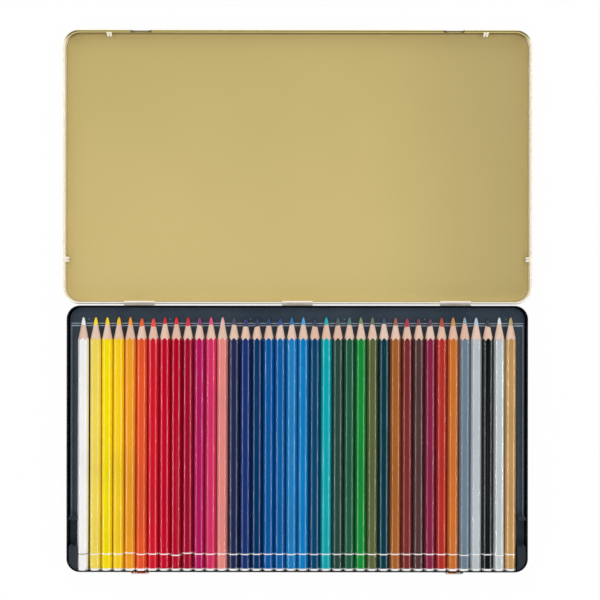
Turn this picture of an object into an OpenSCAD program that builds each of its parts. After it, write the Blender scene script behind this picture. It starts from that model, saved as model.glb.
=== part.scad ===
// Hinged flat tin of thirty-eight colored pencils, standing open on a table.
// The lid is turned right over behind the base and lies with its inside up.
// Frame: millimetres, +Z up, +X to the right, the base towards -Y and the open lid towards +Y.
// The origin is on the table, at the middle of the open tin's outer box.

/* [Tin] */
// Width of the base over its walls
base_w = 318; // [300:1:340]
// Depth of the base over its walls
base_d = 183.75; // [183:0.05:190]
// Height of the base at its rim
base_h = 12.2; // [11.5:0.1:12.4]
// Height of the closed tin
closed_h = 16; // [15.8:0.1:17]
// Outer corner radius of the base, seen from above
base_corner = 9.3; // [7:0.1:11]
// Thickness of the tinplate
sheet = 0.3; // [0.25:0.05:0.35]
// Depth of the folded hem inside the rim of the base
hem_depth = 2.2; // [1.5:0.1:3]
// Outside radius of the bend between floor and wall of the base
base_bend = 1.5; // [1:0.1:2]

/* [Lid] */
// Room between base and lid at each side
side_gap = 2; // [1.8:0.1:2.3]
// Room between base and lid at the front
front_gap = 2; // [1.9:0.1:2.4]
// Diameter of the rolled bead round the lid
bead_d = 1.5; // [1.4:0.1:1.7]
// Inner corner radius of the lid, seen from above
lid_corner = 10.2; // [8:0.1:11.5]
// Inside radius of the bend between the lid's panel and skirt
lid_bend = 2; // [1.5:0.1:2.6]

/* [Hinges and catches] */
// Width of each hinge strap
strap_w = 21; // [16:0.5:26]
// Distance from the middle hinge to each outer one
hinge_pitch = 109.3; // [90:0.1:120]
// Gap between the bead and the wall of the base behind it
hinge_gap = 1; // [0.9:0.05:1.1]
// Angle at which a strap ends above the bead, from the lid side
strap_end = 80; // [40:5:90]
// Distance of each front catch from the middle
catch_x = 108.3; // [90:0.1:120]
// Width of each front catch
catch_w = 14.5; // [12:0.5:18]
// How far a front catch stands out of the wall
catch_out = 1.3; // [1:0.1:1.5]
// Distance of the two front nibs of the lid from the middle
nib_x = 130.7; // [122:0.1:140]
// Distance of the two side nibs of the lid from the hinge line
nib_y = 30.3; // [20:0.1:60]

/* [Tray] */
// Thickness of the formed plastic
film = 0.5; // [0.4:0.05:0.6]
// Height of the shelf under the pencil points
shelf_z = 6.2; // [5:0.1:6.4]
// Height of the ledge and the ribbed bed under the barrels
bed_z = 4.5; // [4:0.1:4.5]
// Height of the ribs between neighbouring pencils
rib_h = 1.5; // [0.8:0.1:1.6]
// Height of the blocks beside the blunt ends
block_z = 11.2; // [9:0.1:11.4]

/* [Pencils] */
// Length of a pencil
pencil_l = 175; // [174.6:0.1:175]
// Width of a pencil across its flats
pencil_flats = 7; // [6.8:0.1:7]
// Radius of the rounded edges of a pencil
pencil_edge = 1.4; // [1.3:0.1:2]
// Distance between neighbouring pencils
pencil_pitch = 7.97; // [7.9:0.01:8]
// Height of the pencil axes above the table
pencil_z = 8.1; // [8.1:0.05:8.3]
// Diameter of the colored core
core_d = 3; // [2.6:0.1:3.4]
// Length of the sharpened cone
cone_l = 16.5; // [14:0.1:18]
// Radius of the point
point_r = 0.45; // [0.2:0.05:0.5]

/* [Hidden] */
$fn = 48;
eps = 0.01;

// Distances from the hinge axis, which the bead of the lid forms.
bead_r = bead_d / 2;
axis_z = closed_h / 2;
wall_y = bead_r + hinge_gap;
front_y = wall_y + base_d;
lid_in_y = front_y + front_gap;
lid_reach = lid_in_y + bead_d;
base_reach = front_y + catch_out;

// The hinge axis in the frame, with the outer box centred on the origin.
hinge_y = (base_reach - lid_reach) / 2;

half_w = base_w / 2;
hem_t = 2 * sheet;
lid_half_w = half_w + side_gap;

// Hinge windows and the straps that come out of them
window_w = strap_w + 1;
window_low = 2.4;
strap_reach = 1.2;
loop_r = (wall_y + strap_reach) / 2;
loop_y = loop_r - wall_y;
lid_window_h = 2.4;

// Angles of the gap between the rolled edge and the skirt
roll_gap_from = 200;
roll_gap = 18;

// Front catches
catch_flank = 2.2;
catch_low = 7;
crimp_w = catch_w - 2;
crimp_r = 0.7;
crimp_in = 0.3;

// Nibs: two round lobes side by side, slanting from the skirt into the lid
nib_r = 0.75;
nib_side = 0.8;
nib_from = [-0.35, 7.6];
nib_to = [1.7, 2.4];
nib_bore = 0.4;

// Room round the tray: from the walls of the base, and from the hem
wall_room = 0.8;
hem_room = 0.2;

// Tray zones, as distances from the hinge axis towards the front
tray_back = wall_y + hem_t + 0.45;
shelf_end = 14.4;
ledge_start = 15.9;
bed_start = 23;
trough_start = 150.2;
trough_end = 167.4;
block_start = 147.1;
tray_front = front_y - hem_t - hem_room;
tray_low = sheet;
lip_h = 0.6;

// Name and lacquer of each pencil, from left to right
PENCILS = [
    ["white", [0.95, 0.95, 0.95]], ["pale_yellow", [0.95, 0.85, 0.35]],
    ["bright_yellow", [1, 0.9, 0]], ["golden_yellow", [1, 0.8, 0.05]],
    ["orange_yellow", [0.95, 0.6, 0.1]], ["orange", [0.9, 0.35, 0.15]],
    ["light_red", [0.8, 0.1, 0.2]], ["carmine", [0.75, 0, 0.2]],
    ["dark_red", [0.7, 0, 0.2]], ["crimson", [0.65, 0.05, 0.2]],
    ["magenta", [0.7, 0.1, 0.4]], ["pink", [0.85, 0.2, 0.4]],
    ["salmon", [0.9, 0.55, 0.5]], ["dark_violet", [0.15, 0.2, 0.35]],
    ["indigo", [0.15, 0.2, 0.45]], ["dark_blue", [0, 0.25, 0.45]],
    ["blue", [0, 0.35, 0.65]], ["mid_blue", [0, 0.4, 0.65]],
    ["light_cobalt", [0.15, 0.5, 0.8]], ["sky_blue", [0, 0.5, 0.75]],
    ["petrol_blue", [0, 0.3, 0.45]], ["turquoise", [0, 0.65, 0.7]],
    ["grey_green", [0.2, 0.35, 0.25]], ["green", [0.15, 0.4, 0.25]],
    ["bright_green", [0.1, 0.55, 0.25]], ["olive", [0.35, 0.4, 0.25]],
    ["deep_petrol", [0, 0.25, 0.35]], ["brown_ochre", [0.65, 0.35, 0.15]],
    ["red_brown", [0.55, 0.15, 0.2]], ["dark_brown", [0.3, 0.2, 0.25]],
    ["wine", [0.55, 0.1, 0.3]], ["rust_red", [0.75, 0.2, 0.2]],
    ["orange_ochre", [0.8, 0.45, 0.15]], ["blue_grey", [0.45, 0.5, 0.6]],
    ["light_grey", [0.75, 0.75, 0.8]], ["black", [0.05, 0.1, 0.1]],
    ["silver", [0.75, 0.75, 0.8]], ["gold", [0.7, 0.55, 0.35]]];
count = len(PENCILS);
end_room = 0.15;
pencil_end = front_y - hem_t - end_room;
edge_centre = (pencil_flats / 2 - pencil_edge) / cos(30);
pencil_half = edge_centre + pencil_edge;
end_round = 0.9;
core_play = 0.02;

function two(n) = str(n < 10 ? "0" : "", n);
function pencil_name(i) = str("pencil_", two(i + 1), "_", PENCILS[i][0]);
function pencil_x(i) = (i - (count - 1) / 2) * pencil_pitch;

// ---- Shared shapes ----

// Lays a profile, drawn as (outwards, up) from the corner arcs' centre, round a rounded rectangle
// whose corner arcs are centred at x = +-cx and from y0 to y1.
module rim_sweep(cx, y0, y1) {
    for (side = [0, 1])
        mirror([side, 0, 0]) {
            translate([cx, y1, 0]) rotate([90, 0, 0]) linear_extrude(y1 - y0) children();
            translate([cx, y1, 0]) rotate_extrude(angle = 90) children();
            translate([cx, y0, 0]) rotate([0, 0, -90]) rotate_extrude(angle = 90) children();
        }
    translate([-cx, y1, 0]) rotate([90, 0, 90]) linear_extrude(2 * cx) children();
    translate([cx, y0, 0]) rotate([90, 0, -90]) linear_extrude(2 * cx) children();
}

// A quarter ring between a floor and a wall, with its centre at (u, v)
module bend_section(u, v, r_out, r_in) {
    translate([u, v]) intersection() {
        difference() {
            circle(r_out);
            circle(r_in);
        }
        translate([0, -r_out]) square(r_out);
    }
}

// A rounded rectangle seen from above
module rounded_plan(half_x, y0, y1, r) {
    translate([-half_x, y0 + r]) square([2 * half_x, y1 - y0 - 2 * r]);
    translate([-half_x + r, y0]) square([2 * (half_x - r), y1 - y0]);
    for (x = [-half_x + r, half_x - r], y = [y0 + r, y1 - r])
        translate([x, y]) circle(r);
}

// Places of the three hinges
module at_hinges() {
    for (x = [-hinge_pitch, 0, hinge_pitch])
        translate([x, hinge_y, axis_z]) children();
}

// ---- Base ----

base_cx = half_w - base_corner;
base_y1 = hinge_y - wall_y - base_corner;
base_y0 = hinge_y - front_y + base_corner;

module base_section() {
    wall = base_corner - sheet;
    translate([wall, base_bend]) square([sheet, base_h - sheet - base_bend]);
    bend_section(base_corner - base_bend, base_bend, base_bend, base_bend - sheet);
    translate([base_corner - hem_t, base_h - hem_depth]) square([sheet, hem_depth - sheet]);
    translate([base_corner - sheet, base_h - sheet]) circle(sheet);
}

// The floor reaches to the bends, with round corners
module base_floor() {
    inset = base_corner - base_bend;
    linear_extrude(sheet)
        rounded_plan(base_cx + inset, base_y0 - inset, base_y1 + inset, inset);
}

// The pressed-out outline of a catch: a flat front with S-shaped flanks
function catch_outline(out, half) = concat([[-half, 0]],
    [for (t = [0.125:0.125:1]) [-half + t * catch_flank, -out * (1 - cos(180 * t)) / 2]],
    [for (t = [1:-0.125:0.125]) [half - t * catch_flank, -out * (1 - cos(180 * t)) / 2]],
    [[half, 0]]);

module catch_block(out, half, back) {
    polygon(concat(catch_outline(out, half), [[half, back], [-half, back]]));
}

module catch() {
    half = catch_w / 2;
    translate([0, hinge_y - front_y, catch_low]) {
        linear_extrude(base_h - catch_low) difference() {
            catch_block(catch_out, half, hem_t);
            translate([0, hem_t]) catch_block(catch_out, half - hem_t, hem_t);
        }
        linear_extrude(sheet) catch_block(catch_out, half, hem_t);
    }
}

// The strap comes down out of the wall, passes under the bead and ends on top of it.
module hinge_strap() {
    translate([0, loop_y, 0]) rotate([90, 0, 90]) rotate([0, 0, 180])
        rotate_extrude(angle = 180 + strap_end)
            translate([loop_r, -strap_w / 2]) square([sheet, strap_w]);
}

module base_tin() {
    color("#141a1c") {
        difference() {
            union() {
                rim_sweep(base_cx, base_y0, base_y1) base_section();
                base_floor();
            }
            at_hinges()
                translate([-window_w / 2, -wall_y - hem_t, window_low - axis_z])
                    cube([window_w, 2 * hem_t, axis_z - window_low]);
            for (x = [-catch_x, catch_x])
                translate([x - catch_w / 2 + hem_t, hinge_y - front_y - hem_t, catch_low + sheet])
                    cube([catch_w - 2 * hem_t, 3 * hem_t, base_h]);
        }
        for (x = [-catch_x, catch_x])
            translate([x, 0, 0]) catch();
    }
    color("#e8dcc0") at_hinges() hinge_strap();
}

// ---- Lid ----

lid_cx = lid_half_w - lid_corner;
lid_y0 = hinge_y + bead_r + lid_corner;
lid_y1 = hinge_y + lid_in_y - lid_corner;

module lid_sheet_section() {
    bend_out = lid_bend + sheet;
    translate([lid_corner, bend_out]) square([sheet, axis_z - bend_out]);
    bend_section(lid_corner - lid_bend, bend_out, bend_out, lid_bend);
}

// The edge is rolled outwards and stops just short of the skirt.
module roll_section(r) {
    difference() {
        circle(r);
        circle(r - sheet);
        rotate(roll_gap_from) square([2 * r, 2 * r * tan(roll_gap)]);
    }
}

module bead_section() {
    translate([lid_corner + bead_r, axis_z]) roll_section(bead_r);
}

module lid_panel() {
    inset = lid_corner - lid_bend;
    linear_extrude(sheet)
        rounded_plan(lid_cx + inset, lid_y0 - inset, lid_y1 + inset, inset);
}

// At each catch the bead is pressed smaller and a little inwards, between two short cuts.
module crimp() {
    translate([-crimp_w / 2, hinge_y + lid_in_y - crimp_in + crimp_r, axis_z])
        rotate([90, 0, 90]) linear_extrude(crimp_w) difference() {
            circle(crimp_r);
            circle(crimp_r - sheet);
        }
}

// One nib, drawn at a skirt that faces +Y, with z = 0 at the table
module nib_lobes(r, from, to) {
    run = to - from;
    for (side = [-1, 1])
        translate([side * nib_side, from[0], from[1]])
            rotate([atan2(run[1], run[0]) - 90, 0, 0]) {
                cylinder(r = r, h = norm(run));
                translate([0, 0, norm(run)]) sphere(r);
            }
}

module at_nibs() {
    for (side = [-1, 1]) {
        translate([side * nib_x, hinge_y + lid_in_y, 0]) rotate([0, 0, 180]) children();
        translate([side * lid_half_w, hinge_y + nib_y, 0]) rotate([0, 0, side * 90]) children();
    }
}

module lid() {
    color("#c4b071") {
        difference() {
            union() {
                difference() {
                    union() {
                        rim_sweep(lid_cx, lid_y0, lid_y1) lid_sheet_section();
                        lid_panel();
                    }
                    at_hinges()
                        translate([-window_w / 2, 0, -lid_window_h])
                            cube([window_w, bead_r + sheet, 2 * lid_window_h]);
                }
                at_nibs() difference() {
                    nib_lobes(nib_r, nib_from, nib_to);
                    translate([-2 * bead_d, -bead_d, 0]) cube([4 * bead_d, bead_d - sheet, axis_z]);
                }
            }
            at_nibs() nib_lobes(nib_bore, nib_from - (nib_to - nib_from), nib_to);
        }
        difference() {
            rim_sweep(lid_cx, lid_y0, lid_y1) bead_section();
            for (x = [-catch_x, catch_x])
                translate([x - catch_w / 2, hinge_y + lid_in_y - bead_r, axis_z - bead_d])
                    cube([catch_w, 2 * bead_d, 2 * bead_d]);
        }
        for (x = [-catch_x, catch_x])
            translate([x, 0, 0]) crimp();
    }
}

// ---- Tray ----

tray_half = half_w - sheet - wall_room;
block_half = half_w - hem_t - hem_room;
row_half = pencil_x(count - 1) + pencil_pitch / 2;
rib_top = 0.6;
rib_foot = 2.2;

// The foot of the tray from right to left, chamfered to clear the bends of the base
function foot_line() = [[tray_half, tray_low + film], [tray_half - film, tray_low],
    [film - tray_half, tray_low], [-tray_half, tray_low + film]];

// The ribbed surface from side to side, with flat grooves between the ribs
function rib_line() = concat([[-tray_half, bed_z]],
    [for (i = [0:count]) let (x = -row_half + i * pencil_pitch)
        each [[x - rib_foot, bed_z], [x - rib_top, bed_z + rib_h],
            [x + rib_top, bed_z + rib_h], [x + rib_foot, bed_z]]],
    [[tray_half, bed_z]]);

// A length of the tray with the given section, between two distances from the hinge axis
module across_tray(start, end, section) {
    translate([0, hinge_y - start, 0]) rotate([90, 0, 0]) linear_extrude(end - start)
        polygon(section);
}

module ribbed_sheet(start, end) {
    line = rib_line();
    across_tray(start, end, concat(line, [for (i = [len(line) - 1:-1:0]) line[i] - [0, film]]));
}

// A wall across the tray, from its lowest level up to the ribbed line
module ribbed_riser(start) {
    across_tray(start, start + film, concat(rib_line(), foot_line()));
}

// The shelf, its back edge, its slanted front and the ledge before the ribs, in one section
module tray_shelf() {
    intersection() {
        translate([-tray_half, hinge_y, 0]) rotate([90, 0, 90]) linear_extrude(2 * tray_half)
            polygon([[-tray_back, tray_low + base_bend], [-tray_back, shelf_z],
                [-shelf_end, shelf_z], [-ledge_start, bed_z], [-bed_start, bed_z],
                [-bed_start, bed_z - film], [-ledge_start, bed_z - film],
                [-shelf_end, shelf_z - film], [-tray_back - film, shelf_z - film],
                [-tray_back - film, tray_low + base_bend]]);
        linear_extrude(shelf_z)
            rounded_plan(tray_half, hinge_y - bed_start - base_corner, hinge_y - tray_back,
                base_corner - sheet - wall_room);
    }
}

module side_block(start, end, r) {
    depth = end - start;
    inner = row_half + 0.2;
    translate([0, 0, tray_low + base_bend]) intersection() {
        translate([inner, hinge_y - end, 0]) difference() {
            cube([block_half - inner, depth, block_z - tray_low - base_bend]);
            translate([film, film, -eps])
                cube([block_half - inner - 2 * film, depth - 2 * film,
                    block_z - tray_low - base_bend - film]);
        }
        linear_extrude(block_z)
            rounded_plan(block_half, hinge_y - end, hinge_y - start + r, r);
    }
}

// The turned-up edge along each side of the bed
module side_lip(start, end) {
    translate([tray_half - film, hinge_y - end, bed_z - film])
        cube([film, end - start, film + lip_h]);
}

module pencil_tray() {
    color("#2f3946") {
        tray_shelf();
        ribbed_riser(bed_start);
        ribbed_sheet(bed_start + film, trough_start - film);
        ribbed_riser(trough_start - film);
        across_tray(trough_start, trough_end, foot_line());
        intersection() {
            union() {
                ribbed_riser(trough_end);
                ribbed_sheet(trough_end + film, tray_front);
            }
            linear_extrude(block_z)
                rounded_plan(tray_half, hinge_y - tray_front, hinge_y - trough_end + base_corner,
                    base_corner - hem_t);
        }
        for (side = [0, 1])
            mirror([side, 0, 0]) {
                side_block(block_start, trough_start, film);
                side_block(trough_end, tray_front, base_corner - hem_t);
                side_lip(ledge_start, block_start);
            }
    }
}

// ---- Pencils ----

// Six flats with rounded edges between them, one flat facing up
module barrel_section() {
    steps = 5;
    polygon([for (k = [0:5], s = [0:steps]) let (a = 60 * k - 30 + 60 * s / steps)
        edge_centre * [cos(60 * k), sin(60 * k)] + pencil_edge * [cos(a), sin(a)]]);
}

// The turned envelope of the casing, drawn as (radius, distance from the point)
module casing_envelope() {
    wide = 2 * pencil_half;
    slope = (pencil_half - point_r) / cone_l;
    polygon([[0, 0], [point_r, 0], [point_r + slope * 2 * cone_l, 2 * cone_l],
        [wide, 2 * cone_l], [wide, pencil_l - end_round],
        [pencil_half, pencil_l - end_round], [pencil_half - 0.3 * end_round, pencil_l - 0.3 * end_round],
        [pencil_half - end_round, pencil_l], [0, pencil_l]]);
}

module along_pencil(i) {
    translate([pencil_x(i), hinge_y - pencil_end + pencil_l, pencil_z]) rotate([90, 0, 0])
        children();
}

module pencil(i) {
    core_r = core_d / 2;
    slope = (pencil_half - point_r) / cone_l;
    core_cone = (core_r - point_r) / slope;
    along_pencil(i) {
        color(PENCILS[i][1]) difference() {
            intersection() {
                linear_extrude(pencil_l) barrel_section();
                rotate_extrude() casing_envelope();
            }
            translate([0, 0, -eps]) cylinder(r = core_r + core_play, h = pencil_l + 2 * eps);
        }
        color(PENCILS[i][1]) rotate_extrude()
            polygon([[0, 0], [point_r, 0], [core_r, core_cone], [core_r, pencil_l - eps],
                [0, pencil_l - eps]]);
    }
}

// ---- Assembly ----

base_tin();
lid();
pencil_tray();
for (i = [0:count - 1])
    pencil(i);
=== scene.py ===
"""Dresses the open tin of colored pencils: the finish of every surface, the light and the camera.

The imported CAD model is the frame. Each sub-assembly is a class that builds its meshes where the
frame says and gives them their materials. Sizes are in millimetres, and MM turns them into metres.
"""

import logging
import math
import random
from dataclasses import dataclass, field
from enum import Enum
from functools import partial
from typing import Callable, Iterable, Sequence

import bmesh
import bpy
from bpy.types import Material, Mesh, Node, NodeSocket, NodeTree, Object
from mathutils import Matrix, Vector


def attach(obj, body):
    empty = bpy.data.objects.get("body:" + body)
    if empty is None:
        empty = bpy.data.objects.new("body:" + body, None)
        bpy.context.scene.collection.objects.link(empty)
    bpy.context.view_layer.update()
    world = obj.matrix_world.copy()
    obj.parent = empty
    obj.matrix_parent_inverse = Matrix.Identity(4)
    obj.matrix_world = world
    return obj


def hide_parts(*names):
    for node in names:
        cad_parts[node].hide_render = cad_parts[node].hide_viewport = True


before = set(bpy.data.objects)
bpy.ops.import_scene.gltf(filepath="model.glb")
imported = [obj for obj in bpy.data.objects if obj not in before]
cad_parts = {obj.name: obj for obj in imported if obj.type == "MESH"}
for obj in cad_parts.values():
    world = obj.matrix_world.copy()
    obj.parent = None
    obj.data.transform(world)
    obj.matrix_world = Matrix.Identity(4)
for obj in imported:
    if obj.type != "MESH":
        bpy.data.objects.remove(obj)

LOG = logging.getLogger("pencil_tin")
MM = 0.001
NEAR = 0.01  # Places closer together than this, in millimetres, count as one.
Rgb = tuple[float, float, float]
Rgba = tuple[float, float, float, float]
Point = tuple[float, float, float]
Range = tuple[float, float]
Outline = list[tuple[float, float]]
FLOAT, VECTOR, COLOR, GEOMETRY, MATERIAL = (
    f"NodeSocket{kind}" for kind in ("Float", "Vector", "Color", "Geometry", "Material"))


# ---- Sizes that the sub-assemblies share ----


@dataclass(frozen=True)
class TinSizes:
    """Sizes that base, lid, hinges and tray share, from the middle of the open tin's box."""

    half_w: float = 159.0
    base_h: float = 12.2
    base_corner: float = 9.3
    axis_y: float = -1.1
    axis_z: float = 8.0
    wall_y: float = 1.75
    front_y: float = 185.5
    lid_gap: float = 2.0
    lid_corner: float = 10.2
    sheet: float = 0.3
    bead_r: float = 0.75
    hinges: tuple[float, ...] = (-109.3, 0.0, 109.3)
    catches: tuple[float, ...] = (-108.3, 108.3)
    catch_w: float = 14.5
    strap_w: float = 21.0
    window_w: float = 22.0
    shelf_z: float = 6.2
    pitch: float = 7.97

    @property
    def lid_half_w(self) -> float:
        """Half the width inside the lid's skirt."""
        return self.half_w + self.lid_gap

    @property
    def lid_hinge_y(self) -> float:
        """Where the lid's skirt runs along the hinge."""
        return self.axis_y + self.bead_r

    @property
    def lid_front_y(self) -> float:
        """Where the lid's skirt runs along its front."""
        return self.axis_y + self.front_y + self.lid_gap

    @property
    def window_ends(self) -> list[float]:
        """Places across the tin where a hinge window begins or ends."""
        return [h + side * self.window_w / 2 for h in self.hinges for side in (-1, 1)]

    def in_window(self, here: float, there: float) -> bool:
        """Tells whether the middle between two places across the tin lies in a hinge window."""
        return any(abs((here + there) / 2 - h) < self.window_w / 2 for h in self.hinges)

    def in_catch(self, x: float, flank: float) -> float:
        """Returns 0 outside the catches and 1 inside them, with a smooth flank between."""
        return ease((self.catch_w / 2 - min(abs(x - c) for c in self.catches)) / flank)

    def catch_flanks(self, flank: float, steps: int) -> list[float]:
        """Returns places across the tin that divide both flanks of each catch into steps."""
        return [c + side * (self.catch_w / 2 - flank * i / steps)
                for c in self.catches for side in (-1, 1) for i in range(steps + 1)]


# ---- Node helpers ----


class Field:
    """A value in a node tree. Arithmetic on it adds Math nodes to the tree."""

    def __init__(self, tree: NodeTree, socket: NodeSocket) -> None:
        """Wraps an output socket of a tree."""
        self.tree = tree
        self.socket = socket

    def math(self, operation: str, *others: "Field | float") -> "Field":
        """Adds one Math node.

        Args:
            operation: The Math node's operation.
            others: Its second and third operands.

        Returns:
            The node's result.
        """
        node = self.tree.nodes.new("ShaderNodeMath")
        node.operation = operation
        for socket, value in zip(node.inputs, (self, *others)):
            plug(self.tree, value, socket)
        return Field(self.tree, node.outputs[0])

    def __add__(self, other: "Field | float") -> "Field":
        """Returns the sum."""
        return self.math("ADD", other)

    def __sub__(self, other: "Field | float") -> "Field":
        """Returns the difference."""
        return self.math("SUBTRACT", other)

    def __rsub__(self, other: float) -> "Field":
        """Returns a number less this value."""
        return self.math("MULTIPLY", -1.0).math("ADD", other)

    def __mul__(self, other: "Field | float") -> "Field":
        """Returns the product."""
        return self.math("MULTIPLY", other)

    def __truediv__(self, other: "Field | float") -> "Field":
        """Returns the quotient."""
        return self.math("DIVIDE", other)

    def __rtruediv__(self, other: float) -> "Field":
        """Returns a number divided by this value."""
        return self.math("POWER", -1.0).math("MULTIPLY", other)

    __radd__ = __add__
    __rmul__ = __mul__


def plug(tree: NodeTree, value: object, socket: NodeSocket) -> None:
    """Feeds a socket.

    Args:
        tree: The tree of the socket.
        value: A Field, a socket, a node that stands for its first output, or the socket's own value.
        socket: The socket.
    """
    if isinstance(value, Field):
        value = value.socket
    if isinstance(value, Node):
        value = value.outputs[0]
    if isinstance(value, NodeSocket):
        tree.links.new(value, socket)
    else:
        socket.default_value = value


def new_node(tree: NodeTree, kind: str, inputs: dict[object, object], **props: object) -> Node:
    """Adds a node.

    Args:
        tree: The tree that it goes into.
        kind: The node's type.
        inputs: Its inputs by name or number, each anything that plug takes.
        props: Its own settings.

    Returns:
        The node.
    """
    node = tree.nodes.new(kind)
    for name, value in props.items():
        setattr(node, name, value)
    for name, value in inputs.items():
        plug(tree, value, node.inputs[name])
    return node


def value_of(tree: NodeTree, kind: str, inputs: dict[object, object] | None = None,
             **props: object) -> Field:
    """Adds a node and returns its first output as a Field."""
    return Field(tree, new_node(tree, kind, inputs or {}, **props).outputs[0])


def new_tree(name: str, kind: str, inputs: dict[str, tuple], outputs: dict[str, str],
             ) -> tuple[NodeTree, Node, Node]:
    """Makes a node group with named sockets.

    Args:
        name: The group's name.
        kind: ShaderNodeTree or GeometryNodeTree.
        inputs: Socket kind and default by input name.
        outputs: Socket kind by output name.

    Returns:
        The group, its input node and its output node.
    """
    tree = bpy.data.node_groups.new(name, kind)
    for label, (socket_kind, default) in inputs.items():
        socket = tree.interface.new_socket(label, in_out="INPUT", socket_type=socket_kind)
        if default is not None:
            socket.default_value = default
    for label, socket_kind in outputs.items():
        tree.interface.new_socket(label, in_out="OUTPUT", socket_type=socket_kind)
    return tree, tree.nodes.new("NodeGroupInput"), tree.nodes.new("NodeGroupOutput")


def given_field(given: Node, name: str) -> Field:
    """Returns a group's input as a Field."""
    return Field(given.id_data, given.outputs[name])


def mix_colors(tree: NodeTree, factor: object, a: object, b: object) -> NodeSocket:
    """Mixes two colors, each RGBA or a socket, and returns the result: b at a factor of 1."""
    return new_node(tree, "ShaderNodeMix", {0: factor, 6: a, 7: b}, data_type="RGBA").outputs[2]


def noise(tree: NodeTree, at: object, scale: object, detail: float = 2.0, rough: float = 0.5) -> Field:
    """Adds a noise texture.

    Args:
        tree: The shader tree.
        at: The coordinates, in metres.
        scale: How many features go into a metre.
        detail: How many finer layers it has.
        rough: How strong each finer layer is.

    Returns:
        The noise, which runs from 0 to 1 round 0.5.
    """
    inputs = {"Vector": at, "Scale": scale, "Detail": detail, "Roughness": rough}
    return value_of(tree, "ShaderNodeTexNoise", inputs)


def ramp(tree: NodeTree, value: Field, low: float, high: float) -> Field:
    """Returns value taken smoothly from 0 at low to 1 at high."""
    inputs = {0: value, 1: low, 2: high, 3: 0.0, 4: 1.0}
    return value_of(tree, "ShaderNodeMapRange", inputs, interpolation_type="SMOOTHSTEP")


def stretched(tree: NodeTree, at: object, factors: object) -> Node:
    """Returns a node that puts out the coordinates multiplied axis by axis."""
    return new_node(tree, "ShaderNodeVectorMath", {0: at, 1: factors}, operation="MULTIPLY")


def own_place(tree: NodeTree) -> NodeSocket:
    """Returns the place on the piece, in metres."""
    return new_node(tree, "ShaderNodeTexCoord", {}).outputs["Object"]


def place_in_mm(tree: NodeTree) -> list[Field]:
    """Returns the three coordinates of the place on the piece, in millimetres."""
    split = new_node(tree, "ShaderNodeSeparateXYZ", {0: own_place(tree)})
    return [Field(tree, socket) * (1.0 / MM) for socket in split.outputs]


# ---- Effects that several materials share ----


def lacquer_flow_group() -> NodeTree:
    """Builds the small unevenness of stoved or dipped lacquer: flow, dust and fine rubs.

    Returns:
        A group that puts out Roughness, Height and Dust.
    """
    tree, given, out = new_tree(
        "lacquer_flow", "ShaderNodeTree",
        {"Roughness": (FLOAT, 0.2), "Spread": (FLOAT, 0.06), "Grain": (FLOAT, 1.0),
         "Stretch": (VECTOR, (1.0, 1.0, 1.0))},
        {"Roughness": FLOAT, "Height": FLOAT, "Dust": FLOAT})
    at = stretched(tree, own_place(tree), given.outputs["Stretch"])
    grain = given_field(given, "Grain")
    flow = noise(tree, at, grain * 260.0, detail=3.0)
    patches = noise(tree, at, grain * 28.0, detail=4.0, rough=0.6)
    specks = ramp(tree, noise(tree, at, grain * 1500.0, detail=1.0), 0.72, 0.8)
    rubbed = noise(tree, stretched(tree, at, (1.0, 0.12, 1.0)), grain * 520.0)
    rubs = ramp(tree, rubbed, 0.6, 0.8)
    uneven = (patches - 0.5) * 2.0 + rubs * 0.5
    roughness = given_field(given, "Roughness") + uneven * given_field(given, "Spread")
    plug(tree, roughness, out.inputs["Roughness"])
    plug(tree, flow + specks * 0.5, out.inputs["Height"])
    plug(tree, specks * 0.6 + rubs * 0.25, out.inputs["Dust"])
    return tree


def wood_grain_group() -> NodeTree:
    """Builds the grain of a sharpened cedar casing, which runs along Y.

    Returns:
        A group that puts out Color and Height.
    """
    tree, given, out = new_tree(
        "cedar_grain", "ShaderNodeTree",
        {"Pale": (COLOR, (0.9, 0.7, 0.5, 1.0)), "Dark": (COLOR, (0.7, 0.4, 0.25, 1.0)),
         "Pores": (COLOR, (0.35, 0.18, 0.1, 1.0))},
        {"Color": COLOR, "Height": FLOAT})
    at = own_place(tree)
    fibres = noise(tree, stretched(tree, at, (1.0, 0.08, 1.0)), 2600.0, detail=4.0, rough=0.65)
    casing = noise(tree, stretched(tree, at, (1.0, 0.02, 0.3)), 115.0, detail=1.0)
    pitted = noise(tree, stretched(tree, at, (1.0, 0.15, 1.0)), 4800.0, detail=1.0)
    pores = ramp(tree, pitted, 0.62, 0.72)
    tone = ramp(tree, casing, 0.3, 0.7) * 0.55 + ramp(tree, fibres, 0.35, 0.75) * 0.45
    body = mix_colors(tree, tone, given.outputs["Pale"], given.outputs["Dark"])
    plug(tree, mix_colors(tree, pores * 0.35, body, given.outputs["Pores"]), out.inputs["Color"])
    plug(tree, fibres - pores * 0.6, out.inputs["Height"])
    return tree


def moulded_grain_group() -> NodeTree:
    """Builds the faint mottle of thermoformed film.

    Returns:
        A group that puts out Mottle, Roughness and Height.
    """
    tree, given, out = new_tree(
        "moulded_grain", "ShaderNodeTree", {"Roughness": (FLOAT, 0.35)},
        {"Mottle": FLOAT, "Roughness": FLOAT, "Height": FLOAT})
    at = own_place(tree)
    fine = noise(tree, at, 1300.0, detail=3.0, rough=0.7)
    broad = noise(tree, at, 45.0, detail=3.0)
    plug(tree, ramp(tree, fine * 0.7 + broad * 0.3, 0.35, 0.65), out.inputs["Mottle"])
    roughness = given_field(given, "Roughness") + (broad - 0.5) * 0.3 + (fine - 0.5) * 0.15
    plug(tree, roughness, out.inputs["Roughness"])
    plug(tree, fine, out.inputs["Height"])
    return tree


class Effects:
    """The shared shader groups, each built once."""

    def __init__(self) -> None:
        """Builds the groups."""
        self.lacquer_flow = lacquer_flow_group()
        self.wood_grain = wood_grain_group()
        self.moulded_grain = moulded_grain_group()


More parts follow.
